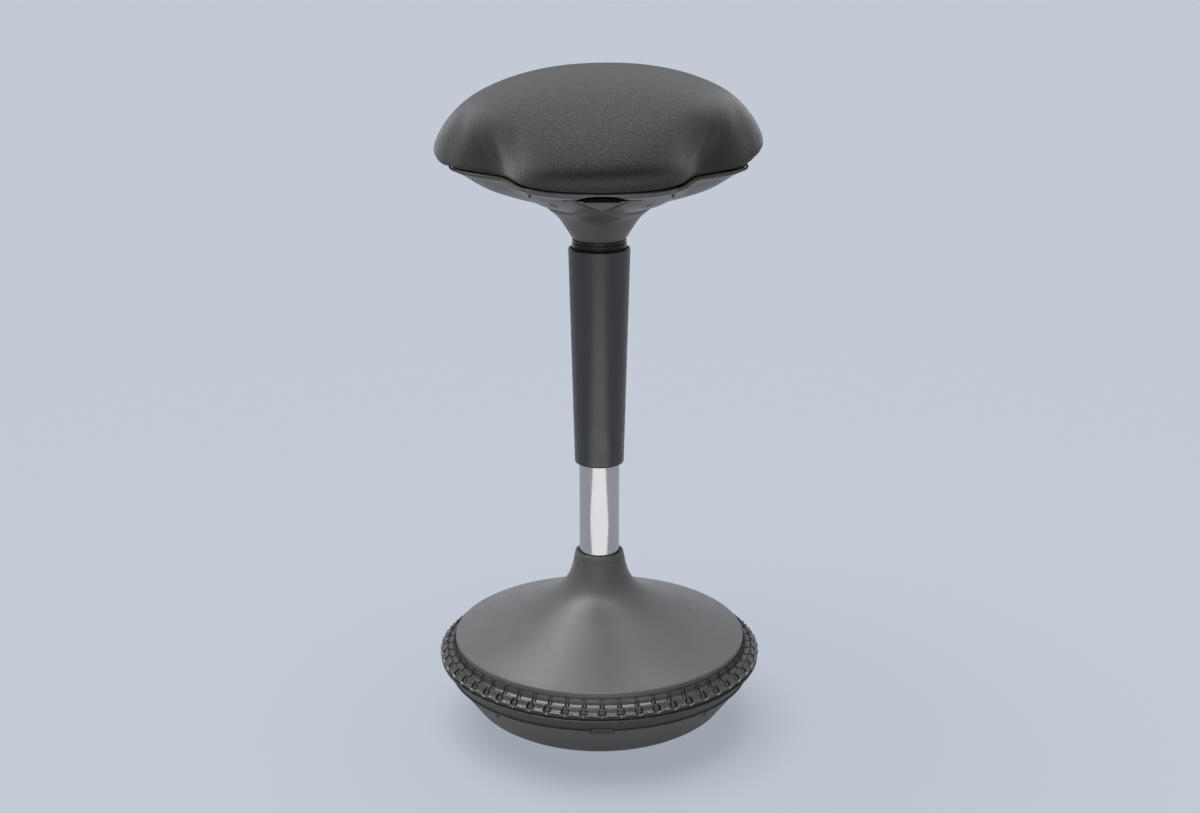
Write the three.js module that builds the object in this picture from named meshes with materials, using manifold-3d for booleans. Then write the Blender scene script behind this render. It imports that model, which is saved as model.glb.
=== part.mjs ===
// Wobble stool: a three-lobed cushion on a gas spring over a rocking, weighted base.
// Millimetres, +Z up, front towards -Y, origin on the floor at the middle of the foot pad.

import * as THREE from 'three';
import { mergeVertices } from 'three/addons/utils/BufferGeometryUtils.js';
import Module from 'manifold-3d';

const wasm = await Module();
wasm.setup();

// Shared clearances and overrun
const SEAT_GAP = 0.3;
const RUN_GAP = 0.4;
const CUT_OVERRUN = 5;
const SMALL_CHAMFER = 1;
const MERGE_TOLERANCE = 1e-4;

// Base: heights above the floor
const FOOT_PAD_RADIUS = 44;
const FOOT_PAD_HEIGHT = 5.5;
const PAD_EDGE_HEIGHT = 1.6;
const ROCKER_RADIUS = 430;
const SEAM_RADIUS = 190.5;
const SEAM_HEIGHT = 75.5;
const SEAM_GAP = 0.5;
const BOWL_KNEE_SETBACK = 29;
const BOWL_KNEE_RADIUS = SEAM_RADIUS - BOWL_KNEE_SETBACK;
const BOWL_KNEE_HEIGHT = 36;
const BOWL_KNEE_WIDTH = 11.5;
const ROCKER_EDGE_RADIUS = BOWL_KNEE_RADIUS - BOWL_KNEE_WIDTH;
const BOWL_WALL = 4;
const KNEE_MIDDLE_SHARE = 0.66;

const SKIRT_FLARE = 8.1;
const SKIRT_TOP_RADIUS = SEAM_RADIUS + SKIRT_FLARE;
const SKIRT_WALL = 5;
const LIP_WIDTH = 3.4;
const LIP_RADIUS = SKIRT_TOP_RADIUS + LIP_WIDTH;
const SKIRT_HEIGHT = 17;
const LIP_HEIGHT = SEAM_HEIGHT + SKIRT_HEIGHT;
const LIP_THICKNESS = 1.6;
const FLANGE_RISE = 1.7;
const FLANGE_TOP_HEIGHT = LIP_HEIGHT + FLANGE_RISE;
const FLANGE_WIDTH = 24.6;
const FLANGE_INNER_RADIUS = SKIRT_TOP_RADIUS - FLANGE_WIDTH;
const WEB_DROP = 6.2;
const WEB_TOP_HEIGHT = FLANGE_TOP_HEIGHT - WEB_DROP;
const WEB_THICKNESS = 4;
const TAB_WIDTH = 27;
const TAB_DEPTH = 6;

const RING_FOOT_RADIUS = SKIRT_TOP_RADIUS;
const RING_BULGE = 3.6;
const RING_RADIUS = RING_FOOT_RADIUS + RING_BULGE;
const RING_RIDGE_RISE = 6.6;
const RING_RIDGE_HEIGHT = FLANGE_TOP_HEIGHT + RING_RIDGE_RISE;
const RING_CHAMFER = 7;
const RING_TOP_RADIUS = RING_RADIUS - RING_CHAMFER;
const RING_CHAMFER_RISE = 6.8;
const RING_TOP_HEIGHT = RING_RIDGE_HEIGHT + RING_CHAMFER_RISE;
const RING_CROWN_RISE = 0.8;
const RING_CROWN_HEIGHT = RING_TOP_HEIGHT + RING_CROWN_RISE;
const NOTCH_COUNT = 57;
const NOTCH_DEPTH = 3.2;
const NOTCH_NECK_WIDTH = 3.4;
const NOTCH_BULB_WIDTH = 8;
const NOTCH_SLOPE_WIDTH = 0.8;

const SHOULDER_STEP = 15;
const SHOULDER_RADIUS = SKIRT_TOP_RADIUS - SHOULDER_STEP;
const SHOULDER_RISE = 10.9;
const SHOULDER_HEIGHT = RING_TOP_HEIGHT + SHOULDER_RISE;
const SHOULDER_ROUND = 5.5;
const SHOULDER_SETBACK = 1.1;
const COVER_FOOT_FLARE = 2.2;
const COVER_FOOT_RADIUS = SHOULDER_RADIUS + COVER_FOOT_FLARE;
const RING_FIT = 1;
const RING_INNER_RADIUS = COVER_FOOT_RADIUS + RING_FIT;
const COVER_WALL = 3.2;
const COVER_SLOPE = THREE.MathUtils.degToRad(20);
const COVER_NECK_RADIUS = 31.5;
const COVER_RISE = 104.5;
const COVER_NECK_HEIGHT = SHOULDER_HEIGHT + COVER_RISE;
const COVER_NECK_WALL = 3.6;
const FLARE_AXIS_RADIUS = 23;
const flareShares = [0.018, 0.055, 0.115, 0.21, 0.36, 0.58, 0.8];

const COLLAR_RIM_RADIUS = 29.6;
const COLLAR_HEIGHT = 7.5;
const COLLAR_RIM_DROP = 1.4;
const COLLAR_GROOVE_DROP = 2.6;
const COLLAR_RIM_WIDTH = 1.1;
const COLLAR_GROOVE_WIDTH = 1.2;
const COLLAR_SPIGOT_DEPTH = 6;

const SOCKET_RADIUS = 30.4;
const SOCKET_TOP_DROP = 37;
const SOCKET_TOP_HEIGHT = COVER_NECK_HEIGHT - SOCKET_TOP_DROP;
const SOCKET_FLOOR_HEIGHT = 36;
const SOCKET_FLOOR = 4;
const SOCKET_MOUTH_RADIUS = 19;
const RIB_COUNT = 6;
const RIB_THICKNESS = 3;
const RIB_CLEARANCE = 3;
const RIB_END_SETBACK = 24;
const RIB_OUTER_RADIUS = FLANGE_INNER_RADIUS - RIB_END_SETBACK;
const RIB_INNER_SHARE = 0.42;

const BALLAST_RADIUS = 118;
const BALLAST_BORE_RADIUS = 24;
const BALLAST_THICKNESS = 12;
const BALLAST_CHAMFER = 2;
const BALLAST_DROP = 2;
const BALLAST_BOLT_COUNT = 3;
const BALLAST_BOLT_CIRCLE = 92;
const BALLAST_BOSS_RADIUS = 8;
const BOLT_RADIUS = 3;
const BOLT_HEAD_RADIUS = 5.6;
const BOLT_HEAD_HEIGHT = 3.6;
const BOLT_LENGTH = 30;

const LUG_COUNT = 4;
const LUG_ANGLE = THREE.MathUtils.degToRad(42.5);
const LUG_HEIGHT = 69;
const LUG_WIDTH = 16;
const LUG_RISE = 14;
const LUG_LENGTH = 16;
const LUG_SETBACK = 6;
const BOWL_SCREW_LENGTH = 13;
const BOWL_SCREW_RADIUS = 1.7;
const BOWL_SCREW_HEAD_RADIUS = 3;
const BOWL_SCREW_HEAD_HEIGHT = 1.8;
const BOWL_SCREW_SINK = 2.6;

const COVER_SCREW_COUNT = 3;
const COVER_SCREW_SETBACK = 14;
const COVER_SCREW_CIRCLE = FLANGE_INNER_RADIUS - COVER_SCREW_SETBACK;
const COVER_SCREW_LENGTH = 12;
const COVER_SCREW_RADIUS = 2;
const COVER_SCREW_HEAD_RADIUS = 4;
const COVER_SCREW_HEAD_HEIGHT = 2.4;
const COVER_BOSS_RADIUS = 5;

// Gas spring
const TUBE_RADIUS = 25;
const TUBE_WALL = 2;
const TUBE_TOP_HEIGHT = 470;
const TUBE_EDGE = 0.8;
const GUIDE_LENGTH = 82;
const GUIDE_LIP = 1.5;
const END_PLATE_THICKNESS = 4;
const END_PLATE_LIFT = 3;
const RACE_RADIUS = 13;
const RACE_THICKNESS = 2.4;
const CAGE_THICKNESS = 1.4;
const BALL_RADIUS = 1.9;
const BALL_COUNT = 6;
const BALL_CIRCLE = 9.4;
const ROD_RADIUS = 5;
const ROD_COLLAR_RADIUS = 7;
const ROD_COLLAR_HEIGHT = 4;
const ROD_TIP_LENGTH = 5;
const CLIP_RADIUS = 8;
const CLIP_THICKNESS = 1.2;
const CLIP_GROOVE_DEPTH = 0.8;
const BUMP_RADIUS = 12;
const BUMP_HEIGHT = 12;
const PISTON_LENGTH = 13;
const CYLINDER_RADIUS = 14;
const CYLINDER_WALL = 2.5;
const CYLINDER_BASE_HEIGHT = 288;
const PISTON_OFFSET = 27;
const PISTON_BASE_HEIGHT = CYLINDER_BASE_HEIGHT + PISTON_OFFSET;
const CYLINDER_TAPER_LENGTH = 40;
const CYLINDER_TIP_RADIUS = 13;
const CYLINDER_CAP = 8;
const SEAL_LENGTH = 12;
const BUTTON_RADIUS = 3.6;
const BUTTON_PROUD = 5;

// Telescopic cover
const SLEEVE_BOTTOM_HEIGHT = 347.5;
const SLEEVE_LENGTH = 270;
const SLEEVE_TOP_HEIGHT = SLEEVE_BOTTOM_HEIGHT + SLEEVE_LENGTH;
const SLEEVE_BOTTOM_RADIUS = 30.4;
const SLEEVE_TOP_RADIUS = 37.4;
const SLEEVE_WALL = 2.4;
const SLEEVE_ROUND = 2.6;
const SLEEVE_LEDGE_DEPTH = 18;
const SLEEVE_LEDGE_WIDTH = 5;
const SLEEVE_LEDGE_HEIGHT = 3;
const BUSHING_LENGTH = 24;
const STEP_RING_RADIUS = 34.6;
const STEP_RING_GROOVE = 1.3;
const STEP_RING_GROOVES = 2;
const STEP_RING_HEIGHT = 10.2;

// Seat: it stands on the stepped ring, and its heights follow from the sleeve's
const LOBES = 3;
const CUSHION_TIP_RADIUS = 223;
const NOTCH_RADIUS = 130;
const CUSHION_OUTLINE = { tip: CUSHION_TIP_RADIUS, notch: NOTCH_RADIUS, fullnessShare: 0 };
const PAN_SETBACK = 36;
const PAN_TIP_RADIUS = CUSHION_TIP_RADIUS - PAN_SETBACK;
const PAN_OUTLINE = { tip: PAN_TIP_RADIUS, notch: NOTCH_RADIUS, fullnessShare: 0.16 };
const PAN_BOTTOM_HEIGHT = SLEEVE_TOP_HEIGHT + STEP_RING_HEIGHT + SEAT_GAP * 2;
const PAN_HEIGHT = 82.6;
const PAN_TOP_HEIGHT = PAN_BOTTOM_HEIGHT + PAN_HEIGHT;
const CUSHION_BOTTOM_HEIGHT = PAN_TOP_HEIGHT + SEAT_GAP;
const CUSHION_EDGE_RISE = 14.8;
const CUSHION_EDGE_HEIGHT = CUSHION_BOTTOM_HEIGHT + CUSHION_EDGE_RISE;
const CROWN_RISE = 108;
const CROWN_HEIGHT = CUSHION_EDGE_HEIGHT + CROWN_RISE;
const CROWN_WIDTH_POWER = 0.89;
const CROWN_RISE_POWER = 1.55;
const CROWN_LOBING_SHARE = 0.15;
const LOBING_FADE_SHARE = 0.8;
const CUSHION_FOOT_SHARE = 0.93;
const crownAngleShares = [0.13, 0.27, 0.41, 0.55, 0.69, 0.82, 0.93];
const tuckShares = [[0.968, 0.16], [0.99, 0.5]];
const CUSHION_SIDES = 48;

const PAN_RIM_DEPTH = 5;
const PAN_RIM_DRAFT = 3;
const PAN_WALL = 3;
const PAN_SIDES = 36;
const NECK_RADIUS = 33.4;
const NECK_BORE_RADIUS = 29;
// Each row: radius at a lobe tip as a share of the pan's, height as a share of the pan's, lobing share
const panProfileShares = [
  [0.22, 0.138, 0],
  [0.272, 0.329, 0],
  [0.338, 0.446, 0.2],
  [0.385, 0.517, 0.6],
  [0.53, 0.5585, 0.9],
  [0.762, 0.6955, 1],
  [0.936, 0.898, 1],
];

const WELT_RADIUS = 1.5;
const WELT_SIDES = 5;
const WELT_STEPS = 36;
const WELT_RELIEF = 0.2;

const BOARD_THICKNESS = 12;
const BOARD_BOTTOM_HEIGHT = PAN_TOP_HEIGHT - BOARD_THICKNESS;
const BOARD_INSET = 26;
const BOARD_SIDES = 36;
const TEE_NUT_RADIUS = 4.2;
const TEE_NUT_FLANGE_RADIUS = 9;
const TEE_NUT_FLANGE_THICKNESS = 1.5;
const TEE_NUT_LENGTH = 8;

const TRIM_HALF_ANGLE = THREE.MathUtils.degToRad(28.5);
const TRIM_THICKNESS = 2.2;
const TRIM_STEPS = 14;
const TRIM_ROWS = 3;
const TRIM_RELIEF = 1;
const TRIM_END_ANGLE = THREE.MathUtils.degToRad(1);

const CHANNEL_WIDTH = 76;
const CHANNEL_LENGTH = 84;
const CHANNEL_DEPTH = 30.6;
const CHANNEL_TOP_HEIGHT = BOARD_BOTTOM_HEIGHT - SEAT_GAP;
const CHANNEL_FLOOR_HEIGHT = CHANNEL_TOP_HEIGHT - CHANNEL_DEPTH;
const CYLINDER_STAND = 8;
const CYLINDER_TOP_HEIGHT = CHANNEL_FLOOR_HEIGHT + CYLINDER_STAND;
const CHANNEL_METAL = 3;
const CHANNEL_FLANGE = 24;
const MOUNT_BOLT_SPACING = 60;
const MOUNT_BOLT_RADIUS = 3;
const MOUNT_BOLT_HEAD_RADIUS = 5.2;
const MOUNT_BOLT_HEAD_HEIGHT = 4;
const MOUNT_BOLT_LENGTH = 13;
const HUB_RADIUS = 21;
const HUB_SPIGOT_RADIUS = 17;
const HUB_DROP = 30;

const PIVOT_FRONT = 30;
const PIVOT_RADIUS = 3;
const PIVOT_HEAD_RADIUS = 5;
const PIVOT_HEAD = 2;
const LEVER_THICKNESS = 4;
const LEVER_WIDTH = 16;
const LEVER_REAR = 10;
const LEVER_EYE_RADIUS = 6.5;
const LEVER_BEND_FRONT = 46;
const LEVER_RISE_FRONT = 74;
const PADDLE_SETBACK = 21;
const PADDLE_FRONT = PAN_TIP_RADIUS - PADDLE_SETBACK;
const PADDLE_DEPTH = 26;
const PADDLE_WIDTH = 40;
const PADDLE_DROP = 10.3;
const PADDLE_HEIGHT = PAN_TOP_HEIGHT - PADDLE_DROP;
const RELIEF_WIDTH = 62;
const RELIEF_DEPTH = 9.5;
const RELIEF_SETBACK = 11;
const RELIEF_FRONT = PAN_TIP_RADIUS - RELIEF_SETBACK;
const RELIEF_REAR = 62;

const RECESS_HALF_WIDTH = 32;
const RECESS_LENGTH = 48;
const RECESS_REAR = PAN_TIP_RADIUS - RECESS_LENGTH;
const RECESS_TOP_DROP = 2.4;
const RECESS_HEIGHT = 23;
// Right half of the recess: across as a share of its half width, down as a share of its height
const recessShares = [[0, 0], [0.72, 0.07], [1, 0.28], [0.78, 0.46], [0.45, 0.755], [0, 1]];
// Right half of the tray that lines the foot of the recess, in the same shares
const scoopShares = [[0.9, 0.365], [0.78, 0.463], [0.45, 0.758], [0, 1]];
const SCOOP_LIFT = 0.4;
const SCOOP_WALL = 1.6;
const SCOOP_TOP_SHARE = 0.48;

const SHELL_SCREW_OFFSET = THREE.MathUtils.degToRad(21);
const SHELL_SCREW_SETBACK = 41;
const SHELL_SCREW_CIRCLE = PAN_TIP_RADIUS - SHELL_SCREW_SETBACK;
const SHELL_BOSS_RADIUS = 6.5;
const SHELL_SCREW_RADIUS = 2;
const SHELL_SCREW_HEAD_RADIUS = 4;
const SHELL_SCREW_HEAD_HEIGHT = 2.4;
const SHELL_SCREW_SEAT_DROP = 3.4;
const SHELL_SCREW_BITE = 8;

// Facets around a full turn
const LARGE_SIDES = 36;
const COLUMN_SIDES = 24;
const FITTED_SIDES = 16;
const SMALL_SIDES = 8;

const material = (color, roughness, metalness) =>
  new THREE.MeshStandardMaterial({ color, roughness, metalness });

const FINISH = {
  fabric: material(0x4a4b4d, 0.95, 0),
  piping: material(0x6a6c6e, 0.85, 0),
  plywood: material(0xb08a5c, 0.7, 0),
  shellPlastic: material(0x66686a, 0.45, 0),
  blackPlastic: material(0x2e2f31, 0.5, 0),
  basePlastic: material(0x5a5c5e, 0.5, 0),
  rubber: material(0x3f4142, 0.8, 0),
  bowlRubber: material(0x4c4e50, 0.75, 0),
  chrome: material(0xd0d2d4, 0.2, 1),
  steel: material(0x9a9da0, 0.4, 1),
  castIron: material(0x3a3c3e, 0.6, 0.8),
  acetal: material(0xe6e6e0, 0.4, 0),
};

// Geometry helpers

// Angle from the front, towards +X
const around = (angle, radius, height) =>
  new THREE.Vector3(radius * Math.sin(angle), -radius * Math.cos(angle), height);

const turn = (index, count) => (index / count) * 2 * Math.PI;

function faceted(points, faces) {
  const geometry = new THREE.BufferGeometry();
  const flat = points.flatMap((point) => [point.x, point.y, point.z]);
  geometry.setAttribute('position', new THREE.Float32BufferAttribute(flat, 3));
  geometry.setIndex(faces.flat());
  return geometry;
}

// Solid of revolution round Z; the profile rises on its outside
function lathe(profile, sides) {
  const geometry = new THREE.LatheGeometry(
    profile.map(([radius, height]) => new THREE.Vector2(radius, height)),
    sides,
  );
  return geometry.rotateX(Math.PI / 2);
}

// Rings of points from a bottom pole to a top pole
function domeSolid(sides, bottom, rings, top) {
  const points = [bottom, ...rings.flat(), top];
  const topIndex = points.length - 1;
  const at = (ring, side) => 1 + ring * sides + (side % sides);
  const faces = [];
  for (let side = 0; side < sides; side += 1) {
    faces.push([0, at(0, side + 1), at(0, side)]);
    faces.push([topIndex, at(rings.length - 1, side), at(rings.length - 1, side + 1)]);
    for (let ring = 0; ring + 1 < rings.length; ring += 1) {
      faces.push([at(ring, side), at(ring, side + 1), at(ring + 1, side + 1)]);
      faces.push([at(ring, side), at(ring + 1, side + 1), at(ring + 1, side)]);
    }
  }
  return faceted(points, faces);
}

// A section carried through its copies: round to the first one, or with two flat ends
function sweptSolid(sections, round = true) {
  const count = sections.length;
  const size = sections[0].length;
  const at = (section, step) => (section % count) * size + (step % size);
  const faces = [];
  for (let section = 0; section < (round ? count : count - 1); section += 1) {
    for (let step = 0; step < size; step += 1) {
      faces.push([at(section, step), at(section + 1, step), at(section + 1, step + 1)]);
      faces.push([at(section, step), at(section + 1, step + 1), at(section, step + 1)]);
    }
  }
  if (!round) {
    for (let step = 1; step + 1 < size; step += 1) {
      faces.push([at(0, 0), at(0, step), at(0, step + 1)]);
      faces.push([at(count - 1, 0), at(count - 1, step + 1), at(count - 1, step)]);
    }
  }
  return faceted(sections.flat(), faces);
}

// An outline in the XY plane, raised along Z
function prism(outline, height, holes = []) {
  const shape = new THREE.Shape(outline.map(([x, y]) => new THREE.Vector2(x, y)));
  holes.forEach(([x, y, radius]) => {
    const hole = new THREE.Path();
    hole.absarc(x, y, radius, 0, 2 * Math.PI, true);
    shape.holes.push(hole);
  });
  const options = { depth: height, bevelEnabled: false, curveSegments: SMALL_SIDES };
  return new THREE.ExtrudeGeometry(shape, options);
}

// An outline in the YZ plane, centred across X
function sideProfile(outline, width) {
  const geometry = prism(outline, width).translate(0, 0, -width / 2);
  const turned = new THREE.Matrix4().makeBasis(
    new THREE.Vector3(0, 1, 0),
    new THREE.Vector3(0, 0, 1),
    new THREE.Vector3(1, 0, 0),
  );
  return geometry.applyMatrix4(turned);
}

// An outline in the XZ plane, reaching from y = front back to y = rear
function frontProfile(outline, front, rear) {
  const turned = new THREE.Matrix4().makeBasis(
    new THREE.Vector3(1, 0, 0),
    new THREE.Vector3(0, 0, 1),
    new THREE.Vector3(0, -1, 0),
  );
  return prism(outline, rear - front).applyMatrix4(turned).translate(0, rear, 0);
}

const box = (sizeX, sizeY, sizeZ, x, y, z) =>
  new THREE.BoxGeometry(sizeX, sizeY, sizeZ).translate(x, y, z);

const rod = (radius, bottom, top, sides = SMALL_SIDES) =>
  lathe([[0, bottom], [radius, bottom], [radius, top], [0, top]], sides);

function toSolid(geometry) {
  const bare = geometry.clone();
  bare.deleteAttribute('normal');
  bare.deleteAttribute('uv');
  const merged = mergeVertices(bare, MERGE_TOLERANCE);
  const index = merged.index.array;
  const kept = [];
  for (let face = 0; face < index.length; face += 3) {
    const [a, b, c] = [index[face], index[face + 1], index[face + 2]];
    if (a !== b && b !== c && c !== a) {
      kept.push(a, b, c);
    }
  }
  const positions = merged.attributes.position.array;
  return new wasm.Manifold(
    new wasm.Mesh({
      numProp: 3,
      vertProperties: new Float32Array(positions),
      triVerts: new Uint32Array(kept),
    }),
  );
}

function toGeometry(solid) {
  const mesh = solid.getMesh();
  const geometry = new THREE.BufferGeometry();
  geometry.setAttribute('position', new THREE.BufferAttribute(mesh.vertProperties, 3));
  geometry.setIndex(new THREE.BufferAttribute(mesh.triVerts, 1));
  return geometry;
}

const join = (first, ...others) =>
  toGeometry(others.reduce((sum, other) => sum.add(toSolid(other)), toSolid(first)));

const cut = (first, ...others) =>
  toGeometry(others.reduce((rest, other) => rest.subtract(toSolid(other)), toSolid(first)));

const overlapOf = (first, second) => toGeometry(toSolid(first).intersect(toSolid(second)));

const stool = new THREE.Group();

function piece(name, geometry, finish) {
  const mesh = new THREE.Mesh(geometry, finish);
  mesh.name = name;
  stool.add(mesh);
  return mesh;
}

// A screw standing on Z with its head below zero and its shank above
function screwGeometry(shankRadius, headRadius, headHeight, length) {
  return lathe(
    [
      [0, -headHeight],
      [headRadius, -headHeight],
      [headRadius, 0],
      [shankRadius, 0],
      [shankRadius, length - shankRadius],
      [0, length],
    ],
    SMALL_SIDES,
  );
}

// Base shapes

const rockerHeight = (radius) =>
  PAD_EDGE_HEIGHT +
  Math.sqrt(ROCKER_RADIUS ** 2 - FOOT_PAD_RADIUS ** 2) -
  Math.sqrt(ROCKER_RADIUS ** 2 - radius ** 2);

const flareShare = (radius) =>
  (COVER_NECK_RADIUS - FLARE_AXIS_RADIUS) / (radius - FLARE_AXIS_RADIUS);

const coverEdgeRadius = SHOULDER_RADIUS - SHOULDER_ROUND;
const coverEdgeHeight = SHOULDER_HEIGHT + SHOULDER_ROUND * Math.sin(COVER_SLOPE * 2);

const fullConeRise = (coverEdgeRadius - COVER_NECK_RADIUS) * Math.tan(COVER_SLOPE);
const flareRise =
  (COVER_NECK_HEIGHT - coverEdgeHeight - fullConeRise) / (1 - flareShare(coverEdgeRadius));

// Height of the bell: a straight cone plus a flare that climbs beside the neck
function coverHeight(radius) {
  const cone = (coverEdgeRadius - radius) * Math.tan(COVER_SLOPE);
  return (
    coverEdgeHeight + cone + flareRise * (flareShare(radius) - flareShare(coverEdgeRadius))
  );
}

// The point one wall inside the bell, square to its surface
function coverInside(radius) {
  const slope =
    Math.tan(COVER_SLOPE) + (flareRise * flareShare(radius)) / (radius - FLARE_AXIS_RADIUS);
  const step = COVER_WALL / Math.hypot(1, slope);
  return [radius - slope * step, coverHeight(radius) - step];
}

const coverRadii = flareShares.map((share) =>
  THREE.MathUtils.lerp(COVER_NECK_RADIUS, coverEdgeRadius, share),
);

function baseCover() {
  const footHeight = FLANGE_TOP_HEIGHT + SEAT_GAP;
  const outside = [
    [COVER_FOOT_RADIUS, footHeight],
    [SHOULDER_RADIUS, SHOULDER_HEIGHT - SHOULDER_ROUND / 2],
    [SHOULDER_RADIUS - SHOULDER_SETBACK, SHOULDER_HEIGHT],
    [coverEdgeRadius, coverEdgeHeight],
    ...[...coverRadii].reverse().map((radius) => [radius, coverHeight(radius)]),
    [COVER_NECK_RADIUS, COVER_NECK_HEIGHT],
  ];
  const inside = [
    [COVER_NECK_RADIUS - COVER_NECK_WALL, COVER_NECK_HEIGHT],
    ...coverRadii.filter((_, index) => index % 2 === 1).map(coverInside),
    [coverEdgeRadius - COVER_WALL, coverEdgeHeight - COVER_WALL],
    [SHOULDER_RADIUS - COVER_WALL, SHOULDER_HEIGHT - SHOULDER_ROUND],
    [COVER_FOOT_RADIUS - COVER_WALL, footHeight],
  ];
  const bell = lathe([...outside, ...inside, outside[0]], LARGE_SIDES);
  const bossTop = coverHeight(COVER_SCREW_CIRCLE) - COVER_WALL / 2;
  const bosses = coverScrewPlaces().map(([x, y]) =>
    rod(COVER_BOSS_RADIUS, WEB_TOP_HEIGHT + SEAT_GAP, bossTop).translate(x, y, 0),
  );
  const holeTop = WEB_TOP_HEIGHT + COVER_SCREW_LENGTH;
  const holes = coverScrewPlaces().map(([x, y]) =>
    rod(COVER_SCREW_RADIUS + SEAT_GAP, WEB_TOP_HEIGHT - CUT_OVERRUN, holeTop).translate(x, y, 0),
  );
  return cut(join(bell, ...bosses), ...holes);
}

function coverScrewPlaces() {
  return Array.from({ length: COVER_SCREW_COUNT }, (_, index) => {
    const place = around(turn(index + 1 / 2, COVER_SCREW_COUNT), COVER_SCREW_CIRCLE, 0);
    return [place.x, place.y];
  });
}

// One notch of the rubber ring: the ridges step back inside it, narrow above and wide below
function gripRing() {
  const pitch = 2 * Math.PI / NOTCH_COUNT;
  const bottom = FLANGE_TOP_HEIGHT + SEAT_GAP;
  const neckHalf = NOTCH_NECK_WIDTH / 2 / RING_TOP_RADIUS;
  const bulbHalf = NOTCH_BULB_WIDTH / 2 / RING_RADIUS;
  const slope = NOTCH_SLOPE_WIDTH / RING_RADIUS;
  const section = (centre, side, inset, depth) => {
    const neck = centre + side * (neckHalf - inset);
    const bulb = centre + side * (bulbHalf - inset);
    return [
      around(neck, RING_INNER_RADIUS, bottom),
      around(neck, RING_FOOT_RADIUS - depth, bottom),
      around(bulb, RING_RADIUS - depth, RING_RIDGE_HEIGHT),
      around(neck, RING_TOP_RADIUS - depth, RING_TOP_HEIGHT - depth / 2),
      around(neck, RING_INNER_RADIUS, RING_CROWN_HEIGHT),
    ];
  };
  const sections = [];
  for (let index = 0; index < NOTCH_COUNT; index += 1) {
    const centre = index * pitch;
    sections.push(section(centre, -1, 0, 0));
    sections.push(section(centre, -1, slope, NOTCH_DEPTH));
    sections.push(section(centre, 1, slope, NOTCH_DEPTH));
    sections.push(section(centre, 1, 0, 0));
  }
  return sweptSolid(sections);
}

function lugAngles() {
  const sides = [LUG_ANGLE, -LUG_ANGLE];
  return [...sides, ...sides.map((angle) => Math.PI - angle)].slice(0, LUG_COUNT);
}

const bowlOuterRadius = (height) =>
  THREE.MathUtils.mapLinear(
    height,
    BOWL_KNEE_HEIGHT,
    SEAM_HEIGHT,
    BOWL_KNEE_RADIUS,
    SEAM_RADIUS,
  );

const lugOuterRadius = bowlOuterRadius(LUG_HEIGHT - LUG_RISE / 2) - LUG_SETBACK - SEAT_GAP;

function ballastBoltPlaces() {
  return Array.from({ length: BALLAST_BOLT_COUNT }, (_, index) => {
    const place = around(turn(index, BALLAST_BOLT_COUNT), BALLAST_BOLT_CIRCLE, 0);
    return [place.x, place.y];
  });
}

const ballastTop = SOCKET_FLOOR_HEIGHT - BALLAST_DROP;
const tubeBottom = SOCKET_FLOOR_HEIGHT + SOCKET_FLOOR + SEAT_GAP;

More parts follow.
